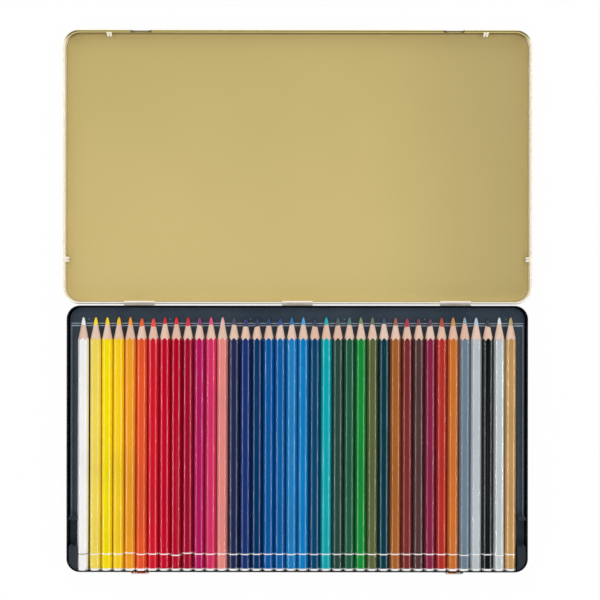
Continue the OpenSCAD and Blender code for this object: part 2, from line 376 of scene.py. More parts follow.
def place_group(tree: NodeTree, group: NodeTree, values: dict[str, object]) -> Node:
    """Places a shader group in a material, with its inputs by name, and returns its node."""
    return new_node(tree, "ShaderNodeGroup", values, node_tree=group)


def rgba(color: Rgb) -> Rgba:
    """Turns a display color into the linear color that Blender's sockets take."""
    linear = [c / 12.92 if c <= 0.04045 else ((c + 0.055) / 1.055) ** 2.4 for c in color]
    return linear[0], linear[1], linear[2], 1.0


def shaded(color: Rgba, share: float) -> Rgba:
    """Returns a linear color at that share of its brightness."""
    return color[0] * share, color[1] * share, color[2] * share, 1.0


def start_material(name: str, metallic: float = 0.0, gloss: float = 0.5) -> tuple[Material, NodeTree]:
    """Makes a node material.

    Args:
        name: The material's name.
        metallic: How far it is metal.
        gloss: Its specular level.

    Returns:
        The material and its tree.
    """
    material = bpy.data.materials.new(name)
    material.use_nodes = True
    shader = material.node_tree.nodes["Principled BSDF"]
    shader.inputs["Metallic"].default_value = metallic
    shader.inputs["Specular IOR Level"].default_value = gloss
    return material, material.node_tree


def finish_coat(tree: NodeTree, color: object, roughness: object, height: object, depth: float) -> None:
    """Feeds a material's shader.

    Args:
        tree: The material's tree.
        color: The surface's color.
        roughness: Its roughness.
        height: The height of its small relief, from 0 to 1.
        depth: How deep that relief is, in millimetres.
    """
    shader = tree.nodes["Principled BSDF"]
    plug(tree, color, shader.inputs["Base Color"])
    plug(tree, roughness, shader.inputs["Roughness"])
    inputs = {"Height": height, "Distance": depth * MM, "Strength": 1.0}
    plug(tree, new_node(tree, "ShaderNodeBump", inputs), shader.inputs["Normal"])


# ---- Finishes ----


@dataclass(frozen=True, kw_only=True)
class Coat:
    """A coat that shows the flow of lacquer. Each kind of coat works out its own color.

    In every finish, a range holds the places or heights in millimetres between which one color
    gives way to the next, and a share says how strongly it does.
    """

    name: str
    roughness: float = 0.3
    spread: float = 0.06
    stretch: Point = (1.0, 1.0, 1.0)
    metallic: float = 0.0
    gloss: float = 0.5
    depth: float = 0.0006
    dust: Rgba = (0.6, 0.58, 0.54, 1.0)
    dust_share: float = 0.0

    def body(self, tree: NodeTree) -> NodeSocket:
        """Returns the coat's own color. A kind of coat replaces this method."""
        raise NotImplementedError

    def build(self, effects: Effects) -> Material:
        """Builds the material.

        Args:
            effects: The shared shader groups.

        Returns:
            The material: the coat's own color under dust, with flow in its gloss and its relief.
        """
        material, tree = start_material(self.name, self.metallic, self.gloss)
        flow = place_group(tree, effects.lacquer_flow,
                           {"Roughness": self.roughness, "Spread": self.spread, "Stretch": self.stretch})
        body = self.body(tree)
        if self.dust_share > 0.0:
            body = mix_colors(tree, Field(tree, flow.outputs["Dust"]) * self.dust_share, body, self.dust)
        finish_coat(tree, body, flow.outputs["Roughness"], flow.outputs["Height"], self.depth)
        return material


@dataclass(frozen=True, kw_only=True)
class Lacquer(Coat):
    """Coats of lacquer on tinplate, film or wood, a little darker in broad drifts."""

    color: Rgb
    depth: float = 0.004
    dust_share: float = 0.12
    drift_scale: float = 22.0
    drift_shade: float = 0.82
    drift_share: float = 0.6

    def body(self, tree: NodeTree) -> NodeSocket:
        """Works out the color.

        Args:
            tree: The material's tree.

        Returns:
            The color.
        """
        drift = ramp(tree, noise(tree, own_place(tree), self.drift_scale, detail=3.0), 0.35, 0.75)
        base = rgba(self.color)
        return mix_colors(tree, drift * self.drift_share, base, shaded(base, self.drift_shade))


@dataclass(frozen=True, kw_only=True)
class GoldPanel(Coat):
    """Transparent gold lacquer on the tinplate inside the lid, with painted shade along the skirt's foot.

    Painted light makes it paler towards the hinge and lifts it near the skirt, most of all at the
    lid's two ends, and painted shade makes it duller towards the right.
    """

    sizes: TinSizes
    name: str = "gold_lacquer"
    roughness: float = 0.42
    spread: float = 0.04
    metallic: float = 0.12
    gloss: float = 0.4
    depth: float = 0.003
    dust: Rgba = (0.7, 0.64, 0.5, 1.0)
    dust_share: float = 0.1
    color: Rgb = (0.795, 0.72, 0.46)
    # Painted light: the panel is paler towards the hinge.
    pale: Rgb = (0.845, 0.762, 0.498)
    # Painted shade: the panel turns duller towards the right.
    right_shade: Rgb = (0.727, 0.657, 0.43)
    # Painted light near the skirt, strongest at the lid's two ends.
    skirt_light_color: Rgb = (0.94, 0.84, 0.567)
    # Painted shade in the corner where the panel meets the skirt.
    corner_shade_color: Rgb = (0.5, 0.42, 0.32)
    panel_light_y: Range = (5.0, 165.0)
    right_shade_x: Range = (40.0, 150.0)
    right_shade_share: float = 0.75
    hinge_end: Range = (1.0, 12.0)
    front_end: Range = (172.0, 184.0)
    skirt_light_w: float = 8.5
    skirt_light_share: float = 0.08
    end_light_share: float = 0.3
    corner_shade_w: float = 0.55
    corner_shade_share: float = 0.9

    def body(self, tree: NodeTree) -> NodeSocket:
        """Works out the color.

        Args:
            tree: The material's tree.

        Returns:
            The color.
        """
        x, y, _ = place_in_mm(tree)
        at_hinge = 1.0 - ramp(tree, y, *self.hinge_end)
        clouds = ramp(tree, noise(tree, own_place(tree), 9.0), 0.3, 0.75)
        # Random clouds in the tone, with painted light that makes the panel paler towards the hinge.
        light = clouds * 0.25 + (1.0 - ramp(tree, y, *self.panel_light_y)) * 0.75
        body = mix_colors(tree, light, rgba(self.color), rgba(self.pale))
        # Painted shade towards the right.
        body = mix_colors(tree, ramp(tree, x, *self.right_shade_x) * self.right_shade_share, body, rgba(self.right_shade))
        rim = self.from_skirt(x, y)
        ends = ramp(tree, y, *self.front_end) + at_hinge
        # Painted light near the skirt, strongest at the hinge and the front.
        skirt_light = (1.0 - ramp(tree, rim, 0.0, self.skirt_light_w)) * (ends * self.end_light_share + self.skirt_light_share)
        body = mix_colors(tree, skirt_light, body, rgba(self.skirt_light_color))
        # Painted shade in that corner, weaker at the hinge.
        corner_shade = 1.0 - ramp(tree, rim, self.corner_shade_w * 0.6, self.corner_shade_w * 1.2)
        return mix_colors(tree, corner_shade * (self.corner_shade_share - at_hinge * 0.3), body, rgba(self.corner_shade_color))

    def from_skirt(self, x: Field, y: Field) -> Field:
        """Works out the distance from the skirt.

        Args:
            x: Place across the lid, in millimetres.
            y: Place along it.

        Returns:
            The distance in millimetres, never more than the corner's radius.
        """
        s = self.sizes
        over_x = (x.math("ABSOLUTE") - (s.lid_half_w - s.lid_corner)).math("MAXIMUM", 0.0)
        middle = (s.lid_hinge_y + s.lid_front_y) / 2
        reach = (s.lid_front_y - s.lid_hinge_y) / 2 - s.lid_corner
        over_y = ((y - middle).math("ABSOLUTE") - reach).math("MAXIMUM", 0.0)
        return s.lid_corner - (over_x * over_x + over_y * over_y).math("SQRT")


@dataclass(frozen=True, kw_only=True)
class SkirtLacquer(Coat):
    """The lacquer of the lid's bead and skirt: cream, and whiter low on the skirt and by the hinge, all as
    painted light, but gold along the front, where no light is painted.

    There painted shade darkens the skirt and the top of the bead, and each crimp has a wedge of painted
    shade at its ends.
    """

    sizes: TinSizes
    name: str = "skirt_lacquer"
    spread: float = 0.03
    metallic: float = 0.1
    # Painted light: the cream of the bead and skirt at the sides and the hinge.
    side_lit_cream: Rgb = (0.97, 0.93, 0.84)
    # Painted light: whiter still low on the skirt and by the hinge.
    white: Rgb = (1.0, 0.99, 0.94)
    gold: Rgb = (0.98, 0.92, 0.6)
    # Painted shade: the dark of the front's skirt, bead and crimps.
    dark: Rgb = (0.12, 0.1, 0.11)
    front: Range = (179.0, 185.0)
    # Painted shade on the front's skirt and on the top of its bead.
    skirt_shade: Range = (1.8, 6.0)
    shade_edge: float = 0.5
    bead_shade: Range = (8.2, 8.6)
    bead_shade_end: Range = (187.1, 187.5)
    bead_shade_share: float = 0.9
    on_bead: Range = (6.8, 7.3)
    # Painted shade in a wedge at each end of a crimp.
    crimp_shade_start: Range = (4.5, 1.2)
    crimp_shade_end: float = 0.3
    hinge_light_y: Range = (-0.5, 6.0)
    low_light_z: Range = (2.0, 7.4)
    shade_share: float = 0.95

    def body(self, tree: NodeTree) -> NodeSocket:
        """Works out the color.

        Args:
            tree: The material's tree.

        Returns:
            The color.
        """
        x, y, z = place_in_mm(tree)
        along_front = ramp(tree, y, *self.front)
        lines = self.lines(tree, x, y, z) * along_front
        # Painted light low on the skirt and by the hinge.
        hinge_and_low_light = (1.0 - ramp(tree, y, *self.hinge_light_y)).math("MAXIMUM", 1.0 - ramp(tree, z, *self.low_light_z))
        body = mix_colors(tree, hinge_and_low_light, rgba(self.side_lit_cream), rgba(self.white))
        # Gold along the front, where no light is painted.
        body = mix_colors(tree, along_front, body, rgba(self.gold))
        # Painted shade along the front.
        return mix_colors(tree, lines * self.shade_share, body, rgba(self.dark))

    def lines(self, tree: NodeTree, x: Field, y: Field, z: Field) -> Field:
        """Draws the painted shade on the skirt and the bead and in the crimps' wedges.

        Args:
            tree: The material's tree.
            x: Place across the lid, in millimetres.
            y: Place along it.
            z: Height.

        Returns:
            How strongly the shade is painted, from 0 to 1.
        """
        low, high = ((mark - self.shade_edge, mark + self.shade_edge) for mark in self.skirt_shade)
        skirt_shade = ramp(tree, z, *low) * (1.0 - ramp(tree, z, *high))
        bead_shade = ramp(tree, z, *self.bead_shade) * (1.0 - ramp(tree, y, *self.bead_shade_end))
        off = (x.math("ABSOLUTE") - self.sizes.catches[1]).math("ABSOLUTE")
        half = self.sizes.catch_w / 2
        crimp_shade = ramp(tree, off, *(half - inside for inside in self.crimp_shade_start))
        crimp_shade = crimp_shade * (1.0 - ramp(tree, off, half - self.crimp_shade_end, half + self.crimp_shade_end))
        lines = skirt_shade.math("MAXIMUM", bead_shade * self.bead_shade_share)
        return lines.math("MAXIMUM", crimp_shade * ramp(tree, z, *self.on_bead))


@dataclass(frozen=True, kw_only=True)
class StrapTin(Coat):
    """Bright tin of the hinge straps, with painted shade in the crease where each strap starts to curl."""

    name: str = "strap_tin"
    spread: float = 0.05
    metallic: float = 0.1
    depth: float = 0.0008
    color: Rgb = (1.0, 0.97, 0.92)
    # Painted shade in the crease.
    crease_shade: Rgb = (0.35, 0.32, 0.32)
    crease_shade_y: float = -0.75
    crease_shade_w: float = 0.22
    crease_shade_z: Range = (8.5, 8.8)
    crease_shade_share: float = 0.35

    def body(self, tree: NodeTree) -> NodeSocket:
        """Works out the color.

        Args:
            tree: The material's tree.

        Returns:
            The color.
        """
        _, y, z = place_in_mm(tree)
        off = (y - self.crease_shade_y).math("ABSOLUTE")
        # Painted shade along the crease.
        line = (1.0 - ramp(tree, off, self.crease_shade_w * 0.3, self.crease_shade_w)) * ramp(tree, z, *self.crease_shade_z)
        return mix_colors(tree, line * self.crease_shade_share, rgba(self.color), rgba(self.crease_shade))


@dataclass(frozen=True, kw_only=True)
class NibHighlight(Coat):
    """Nib lacquer: near-white as a painted highlight, and dark in painted shade under the rounded ends."""

    name: str = "nib_highlight"
    spread: float = 0.04
    # Painted highlight: the near-white of the pressed nibs.
    color: Rgb = (1.0, 1.0, 0.97)
    shade: Rgb = (0.2, 0.2, 0.14)
    shade_z: Range = (1.9, 2.9)

    def body(self, tree: NodeTree) -> NodeSocket:
        """Returns the color, by height."""
        under = 1.0 - ramp(tree, place_in_mm(tree)[2], *self.shade_z)
        return mix_colors(tree, under, rgba(self.color), rgba(self.shade))


@dataclass(frozen=True)
class CedarCasing:
    """Bare wood where a casing is sharpened."""

    pale: Rgb = (0.92, 0.82, 0.75)
    dark: Rgb = (0.88, 0.7, 0.6)

    def build(self, effects: Effects) -> Material:
        """Builds the material.

        Args:
            effects: The shared shader groups.

        Returns:
            The material.
        """
        material, tree = start_material("cedar_casing", gloss=0.3)
        grain = place_group(tree, effects.wood_grain, {"Pale": rgba(self.pale), "Dark": rgba(self.dark)})
        height = Field(tree, grain.outputs["Height"])
        finish_coat(tree, grain.outputs["Color"], height * 0.2 + 0.5, height, 0.03)
        return material


@dataclass(frozen=True)
class WaxCore:
    """The waxy pigment core of a pencil, with the faint turning marks of the sharpener."""

    name: str
    color: Rgb
    pit_shade: float = 0.85

    def build(self) -> Material:
        """Builds the material.

        Returns:
            The material: crumbly pigment, a little darker in its pits.
        """
        material, tree = start_material(self.name, gloss=0.35)
        at = own_place(tree)
        crumbs = noise(tree, at, 3500.0, detail=3.0, rough=0.7)
        marks = noise(tree, stretched(tree, at, (0.1, 1.0, 0.1)), 4200.0, detail=1.0)
        base = rgba(self.color)
        body = mix_colors(tree, ramp(tree, crumbs, 0.45, 0.7), base, shaded(base, self.pit_shade))
        finish_coat(tree, body, crumbs * 0.3 + 0.3, crumbs * 0.6 + marks * 0.4, 0.03)
        return material


@dataclass(frozen=True)
class FormedFilm:
    """Thermoformed plastic film with a fine mottle and painted highlights over its tight bends.

    It has painted shade on top of the blocks and painted light at the bottom of the finger trough.
    """

    color: Rgb = (0.19, 0.24, 0.29)
    light: Rgb = (0.26, 0.32, 0.38)
    # Painted highlight over the bends and the lip, and faint painted light over the bed.
    pale: Rgb = (0.8, 0.88, 0.96)
    # Painted shade on top of the blocks.
    block_shade: Rgb = (0.135, 0.17, 0.205)
    # Painted light at the bottom of the finger trough.
    trough_light: Rgb = (0.25, 0.31, 0.365)
    block_z: Range = (8.0, 10.5)
    trough_z: Range = (1.0, 3.5)
    roughness: float = 0.3
    mottle_share: float = 0.35

    def build(self, effects: Effects) -> Material:
        """Builds the material.

        Args:
            effects: The shared shader groups.

        Returns:
            The material, which reads the film's attribute "bend", where highlights and light are painted.
        """
        material, tree = start_material("formed_film")
        grain = place_group(tree, effects.moulded_grain, {"Roughness": self.roughness})
        mottle = Field(tree, grain.outputs["Mottle"]) * self.mottle_share
        _, _, z = place_in_mm(tree)
        body = mix_colors(tree, mottle, rgba(self.color), rgba(self.light))
        body = mix_colors(tree, ramp(tree, z, *self.block_z), body, rgba(self.block_shade))
        body = mix_colors(tree, 1.0 - ramp(tree, z, *self.trough_z), body, rgba(self.trough_light))
        # The attribute "bend" holds where highlights and light are painted.
        bend = new_node(tree, "ShaderNodeAttribute", {}, attribute_name="bend").outputs["Fac"]
        body = mix_colors(tree, bend, body, rgba(self.pale))
        finish_coat(tree, body, grain.outputs["Roughness"], grain.outputs["Height"], 0.01)
        return material


# ---- Mesh helpers ----


def add_object(name: str, mesh: Mesh) -> Object:
    """Puts a mesh into the scene.

    Args:
        name: The object's name.
        mesh: Its mesh.

    Returns:
        The object, at the origin.
    """
    item = bpy.data.objects.new(name, mesh)
    bpy.context.scene.collection.objects.link(item)
    return item


def mesh_from(name: str, points: Sequence[Point], faces: Sequence[Sequence[int]],
              tags: Sequence[int] | None = None) -> Mesh:
    """Builds a closed, merged mesh with its normals outwards.

    Args:
        name: The mesh's name.
        points: Corners in millimetres.
        faces: Corner numbers of each face.
        tags: Material slot of each face.

    Returns:
        The mesh, in metres.
    """
    mesh = bpy.data.meshes.new(name)
    mesh.from_pydata([[c * MM for c in p] for p in points], [], faces)
    if tags is not None:
        mesh.polygons.foreach_set("material_index", list(tags))
    work = bmesh.new()
    work.from_mesh(mesh)
    bmesh.ops.remove_doubles(work, verts=work.verts, dist=0.002 * MM)
    bmesh.ops.dissolve_degenerate(work, edges=work.edges, dist=0.001 * MM)
    bmesh.ops.recalc_face_normals(work, faces=work.faces)
    work.to_mesh(mesh)
    work.free()
    return mesh


def smooth(mesh: Mesh, angle: float) -> None:
    """Shades a mesh smoothly, apart from edges sharper than angle in degrees."""
    mesh.shade_smooth()
    mesh.set_sharp_from_angle(angle=math.radians(angle))


def bake(item: Object, name: str) -> Object:
    """Turns an object with modifiers into one with a plain mesh.

    Args:
        item: The object, which is removed.
        name: The new object's name.

    Returns:
        The new object.
    """
    bpy.context.view_layer.update()
    graph = bpy.context.evaluated_depsgraph_get()
    mesh = bpy.data.meshes.new_from_object(item.evaluated_get(graph))
    item.modifiers.clear()
    bpy.data.objects.remove(item)
    mesh.name = name
    return add_object(name, mesh)


def run_nodes(tree: NodeTree, values: dict[str, object], name: str, source: Mesh | None = None) -> Object:
    """Runs a Geometry Nodes tree once and keeps its result as a plain mesh.

    Args:
        tree: The tree.
        values: Its inputs by name.
        name: The finished object's name.
        source: The mesh that goes into the tree, if it takes one.

    Returns:
        The finished object.
    """
    item = add_object(name + "_source", source or bpy.data.meshes.new(name + "_source"))
    modifier = item.modifiers.new("shape", "NODES")
    modifier.node_group = tree
    for socket in tree.interface.items_tree:
        if socket.item_type == "SOCKET" and socket.in_out == "INPUT" and socket.name in values:
            modifier[socket.identifier] = values[socket.name]
    return bake(item, name)


@dataclass(frozen=True)
class Station:
    """A place on the path round a rounded rectangle: a base point and the direction outwards."""

    x: float
    y: float
    out_x: float
    out_y: float

    @property
    def on_low_y(self) -> bool:
        """Whether it lies on the straight side at the low end of Y."""
        return self.out_y < -0.999

    @property
    def on_high_y(self) -> bool:
        """Whether it lies on the straight side at the high end of Y."""
        return self.out_y > 0.999

    def at(self, outwards: float, z: float) -> Point:
        """Returns the point that lies that far outwards at height z."""
        return self.x + outwards * self.out_x, self.y + outwards * self.out_y, z


def spaced(low: float, high: float, marks: Iterable[float]) -> list[float]:
    """Returns low, the marks between low and high in order, and high."""
    return [low, *sorted(m for m in set(marks) if low + NEAR < m < high - NEAR), high]


def rounded_path(cx: float, y0: float, y1: float, low_marks: list[float], high_marks: list[float],
                 steps: int = 18) -> list[Station]:
    """Makes the stations round a rounded rectangle, counter-clockwise from its corner at low X and Y.

    Args:
        cx: Half the distance between the corner arcs' centres across.
        y0: The centre of the arcs at low Y.
        y1: The centre of the arcs at high Y.
        low_marks: Places along the side at low Y that need a station.
        high_marks: Places along the side at high Y that need a station.
        steps: Steps in each corner.

    Returns:
        The stations, based on the arcs' centres.
    """
    along_x = [cx * i / 10 for i in range(-9, 10)]
    along_y = [y0 + (y1 - y0) * i / 12 for i in range(13)]
    path = [Station(x, y0, 0.0, -1.0) for x in spaced(-cx, cx, low_marks + along_x)]
    path += corner(cx, y0, -90.0, steps)
    path += [Station(cx, y, 1.0, 0.0) for y in along_y]
    path += corner(cx, y1, 0.0, steps)
    path += [Station(x, y1, 0.0, 1.0) for x in reversed(spaced(-cx, cx, high_marks + along_x))]
    path += corner(-cx, y1, 90.0, steps)
    path += [Station(-cx, y, -1.0, 0.0) for y in reversed(along_y)]
    path += corner(-cx, y0, 180.0, steps)
    return path


def corner(x: float, y: float, start: float, steps: int) -> list[Station]:
    """Returns the stations inside one corner, which begins at start degrees."""
    angles = [math.radians(start + 90.0 * i / steps) for i in range(1, steps)]
    return [Station(x, y, math.cos(a), math.sin(a)) for a in angles]


def arc(u: float, z: float, r: float, start: float, end: float, steps: int) -> Outline:
    """Returns the points of an arc in a section, from start to end degrees, both included."""
    angles = [math.radians(start + (end - start) * i / steps) for i in range(steps + 1)]
    return [(u + r * math.cos(a), z + r * math.sin(a)) for a in angles]


def slope(t: float, bend: float) -> float:
    """Draws a straight rise from 0 to 1 with rounded ends.

    Args:
        t: How far along the rise, 0 to 1.
        bend: The share of its length over which each end is rounded.

    Returns:
        The height there.
    """
    t = min(1.0 + bend, max(-bend, t))
    if t < bend:
        return (t + bend) ** 2 / (4.0 * bend)
    if t > 1.0 - bend:
        return 1.0 - (1.0 + bend - t) ** 2 / (4.0 * bend)
    return t


def ease(t: float) -> float:
    """Returns a smooth step of t, held between 0 and 1."""
    t = min(1.0, max(0.0, t))
    return t * t * (3.0 - 2.0 * t)


# ---- The tin ----


class TinSlot(Enum):
    """Material slots of the tin's sheet."""

    OUTSIDE = 0
    INSIDE = 1
    EDGE = 2
    BARE = 3


def no_patch(at: Station, u: float, z: float) -> None:
    """Returns None for every face: none has a slot of its own."""
    return None


@dataclass
class Sheet:
    """A section of thin sheet swept round a path, with windows cut through it and two flat faces."""

    path: list[Station]
    section: Outline
    slots: list[TinSlot]
    shape: Callable[[Station, float, float], Point]
    cut: Callable[[Station, Station, float, float], bool]
    patch: Callable[[Station, float, float], TinSlot | None] = no_patch
    points: list[Point] = field(default_factory=list)
    faces: list[list[int]] = field(default_factory=list)
    tags: list[int] = field(default_factory=list)

    def add(self, face: list[int], slot: TinSlot) -> None:
        """Adds one face with a material slot."""
        self.faces.append(face)
        self.tags.append(slot.value)

    def build(self, name: str, finishes: dict[TinSlot, Material]) -> Object:
        """Builds and dresses the piece.

        Args:
            name: The piece's name.
            finishes: Material by slot.

        Returns:
            The piece. The flat face at the section's last point is inside, and the one at its
            first point is outside.
        """
        rows, count = len(self.section), len(self.path)
        self.points = [self.shape(s, u, z) for s in self.path for u, z in self.section]
        holes = set()
        for i, here in enumerate(self.path):
            after = (i + 1) % count
            for j in range(rows - 1):
                low, high = sorted((self.section[j][1], self.section[j + 1][1]))
                if self.cut(here, self.path[after], low, high):
                    holes.add((i, j))
                else:
                    slot = self.patch(here, *self.section[j]) or self.slots[j]
                    self.add([i * rows + j, after * rows + j, after * rows + j + 1, i * rows + j + 1], slot)
        self.close_holes(holes, rows, count)
        self.add([i * rows + rows - 1 for i in range(count)], TinSlot.INSIDE)
        self.add([i * rows for i in reversed(range(count))], TinSlot.OUTSIDE)
        mesh = mesh_from(name, self.points, self.faces, self.tags)
        for slot in TinSlot:
            mesh.materials.append(finishes[slot])
        smooth(mesh, 40.0)
        return add_object(name, mesh)

    def close_holes(self, holes: set[tuple[int, int]], rows: int, count: int) -> None:
        """Joins the two skins of the sheet round each window.

        Args:
            holes: Station and row of each face that is left out.
            rows: How many points the section has.
            count: How many stations the path has.
        """
        for i, j in holes:
            twin = next((k for h, k in holes if h == i and k != j
                         and abs(self.section[k][1] - self.section[j + 1][1]) < NEAR
                         and abs(self.section[k + 1][1] - self.section[j][1]) < NEAR), None)
            if twin is None or twin < j:
                continue
            after = (i + 1) % count
            for neighbour, s in {(i - 1) % count: i, after: after}.items():
                if (neighbour, j) not in holes:
                    self.add([s * rows + j, s * rows + j + 1, s * rows + twin, s * rows + twin + 1],
                             self.slots[j])
            for low, high in ((j, twin + 1), (j + 1, twin)):
                beyond = (i, j - 1) if low == j else (i, j + 1)
                if beyond not in holes:
                    self.add([i * rows + low, after * rows + low, after * rows + high, i * rows + high],
                             self.slots[j])


@dataclass
class Base:
    """The drawn base of the tin, with its folded hem, hinge windows and pressed-out catches.

    The rows are the heights at which its section has points of its own.
    """

    sizes: TinSizes
    hem_depth: float = 2.2
    bend: float = 1.5
    catch_out: float = 1.3
    catch_flank: float = 2.2
    catch_low: float = 7.0
    catch_full: float = 11.8
    window_low: float = 2.4
    wall_rows: tuple[float, ...] = (4.0, 6.4, 6.8, 7.2, 7.6)
    shoulder_z: float = 9.0
    hem_rows: tuple[float, float] = (11.2, 10.5)

    def section(self) -> tuple[Outline, list[TinSlot]]:
        """Draws the sheet's outline, from under the floor over the hem to the floor's top.

        Returns:
            The outline's points and the slot of each stretch between two of them.
        """
        s = self.sizes
        r, t, top = s.base_corner, s.sheet, s.base_h
        levels = (self.window_low, *self.wall_rows, s.axis_z, self.shoulder_z)
        outside = arc(r - self.bend, self.bend, self.bend, -90, 0, 6)
        outside += [(r, z) for z in (*levels, self.hem_rows[1])]
        hem = arc(r - t, top - t, t, 0, 180, 8)
        hem += [(r - 2 * t, z) for z in (*self.hem_rows, top - self.hem_depth)]
        inside = [(r - t, z) for z in (top - self.hem_depth, *reversed(levels))]
        inside += arc(r - self.bend, self.bend, self.bend - t, 0, -90, 6)
        slots = [TinSlot.OUTSIDE] * len(outside) + [TinSlot.EDGE] * (len(hem) - 1)
        return outside + hem + inside, slots + [TinSlot.INSIDE] * len(inside)

    def bulge(self, x: float, z: float) -> float:
        """Works out how far the front wall is pressed out.

        Args:
            x: Place across the tin.
            z: Height.

        Returns:
            The distance outwards.
        """
        rise = min(1.0, max(0.0, (z - self.catch_low) / (self.catch_full - self.catch_low)))
        return self.catch_out * rise * self.sizes.in_catch(x, self.catch_flank)

    def shape(self, at: Station, u: float, z: float) -> Point:
        """Returns a point of the sheet, with the catches pressed out of the front."""
        return at.at(u + (self.bulge(at.x, z) if at.on_low_y else 0.0), z)

    def patch(self, at: Station, u: float, z: float) -> TinSlot | None:
        """Finds the faces that show bare tin.

        Args:
            at: The station where a face begins.
            u: Its distance outwards.
            z: Its height.

        Returns:
            The bare slot inside the pressed-out catches, elsewhere None.
        """
        inside = u < self.sizes.base_corner - 0.5 * self.sizes.sheet
        pressed = at.on_low_y and self.bulge(at.x, z) > 0.1
        return TinSlot.BARE if inside and pressed else None

    def cut(self, here: Station, there: Station, low: float, high: float) -> bool:
        """Tells whether a face lies in a hinge window.

        Args:
            here: The station where it begins.
            there: The station where it ends.
            low: Its lower height.
            high: Its upper height.

        Returns:
            Whether it is left out.
        """
        s = self.sizes
        in_height = low > self.window_low - NEAR and high < s.axis_z + NEAR and high - low > NEAR
        return here.on_high_y and there.on_high_y and in_height and s.in_window(here.x, there.x)

    def build(self, finishes: dict[TinSlot, Material]) -> Object:
        """Builds and dresses the base.

        Args:
            finishes: Material by slot.

        Returns:
            The object that replaces the CAD base.
        """
        s = self.sizes
        cx = s.half_w - s.base_corner
        y0 = s.axis_y - s.front_y + s.base_corner
        y1 = s.axis_y - s.wall_y - s.base_corner
        path = rounded_path(cx, y0, y1, s.catch_flanks(self.catch_flank, 8), s.window_ends)
        item = Sheet(path, *self.section(), self.shape, self.cut, self.patch).build("base_shell", finishes)
        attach(item, "tin")
        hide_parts("base_tin")
        return item


@dataclass
class Lid:
    """The drawn lid, lying on its back: a panel, a skirt and a rolled bead.

    The rows are the heights at which its section has points of its own.
    """

    sizes: TinSizes
    bend: float = 0.8
    window_h: float = 2.4
    window_top: float = 0.75
    wall_rows: tuple[float, ...] = (1.6, 3.6)
    crimp_r: float = 0.7
    crimp_in: float = 0.3
    crimp_w: float = 12.5
    roll_end: float = -142.0

    def section(self) -> tuple[Outline, list[TinSlot]]:
        """Draws the sheet's outline, from under the panel round the bead to the panel's top.

        Returns:
            The outline's points and the slot of each stretch between two of them.
        """
        s = self.sizes
        r, t, z = s.lid_corner, s.sheet, s.axis_z
        levels = (*self.wall_rows, z - self.window_h, z - self.window_top)
        under = arc(r - self.bend, self.bend + t, self.bend + t, -90, 0, 10)
        under += [(r + t, h) for h in levels]
        roll = arc(r + s.bead_r, z, s.bead_r - t, 180, self.roll_end, 18)
        roll += arc(r + s.bead_r, z, s.bead_r, self.roll_end, 180, 28)
        wall = [(r, h) for h in reversed(levels)]
        fillet = arc(r - self.bend, self.bend + t, self.bend, 0, -90, 10)
        slots = [TinSlot.OUTSIDE] * (len(under) - 1) + [TinSlot.EDGE] * (len(roll) + len(wall) + 1)
        return under + roll + wall + fillet, slots + [TinSlot.INSIDE] * (len(fillet) - 1)

    @property
    def press(self) -> float:
        """Length of the stretch over which a crimp is pressed in."""
        return (self.sizes.catch_w - self.crimp_w) / 2

    def shape(self, at: Station, u: float, z: float) -> Point:
        """Places a point of the sheet, with the bead pressed smaller at the catches.

        Args:
            at: Its station.
            u: Its distance outwards.
            z: Its height.

        Returns:
            The point.
        """
        s = self.sizes
        middle = s.lid_corner + s.bead_r
        pressed = s.in_catch(at.x, self.press)
        on_bead = math.hypot(u - middle, z - s.axis_z) < s.bead_r + NEAR
        if at.on_high_y and pressed > 0.0 and on_bead:
            scale = 1.0 + pressed * (self.crimp_r / s.bead_r - 1.0)
            inwards = s.bead_r - self.crimp_r + self.crimp_in
            u = middle - inwards * pressed + (u - middle) * scale
            z = s.axis_z + (z - s.axis_z) * scale
        return at.at(u, z)

    def cut(self, here: Station, there: Station, low: float, high: float) -> bool:
        """Tells whether a face lies in a hinge window, below the bead.

        Args:
            here: The station where it begins.
            there: The station where it ends.
            low: Its lower height.
            high: Its upper height.

        Returns:
            Whether it is left out.
        """
        s = self.sizes
        in_height = low > s.axis_z - self.window_h - NEAR and high < s.axis_z - self.window_top + NEAR
        return here.on_low_y and there.on_low_y and in_height and s.in_window(here.x, there.x)

    def build(self, finishes: dict[TinSlot, Material]) -> Object:
        """Builds and dresses the lid's sheet.

        Args:
            finishes: Material by slot.

        Returns:
            The object that replaces the CAD lid.
        """
        s = self.sizes
        cx, y0, y1 = s.lid_half_w - s.lid_corner, s.lid_hinge_y + s.lid_corner, s.lid_front_y - s.lid_corner
        path = rounded_path(cx, y0, y1, s.window_ends, s.catch_flanks(self.press, 5), 24)
        item = Sheet(path, *self.section(), self.shape, self.cut).build("lid_shell", finishes)
        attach(item, "lid")
        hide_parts("lid")
        return item


def hand_out(tree: NodeTree, given: Node, out: Node, shape: Node) -> None:
    """Ends a tree: makes its instances real, gives them its material and puts them out.

    Args:
        tree: The geometry tree.
        given: Its input node, with the input Material.
        out: Its output node.
        shape: The node whose result is handed out.
    """
    real = new_node(tree, "GeometryNodeRealizeInstances", {"Geometry": shape})
    dressed = new_node(tree, "GeometryNodeSetMaterial",
                       {"Geometry": real, "Material": given.outputs["Material"]})
    plug(tree, dressed, out.inputs["Geometry"])


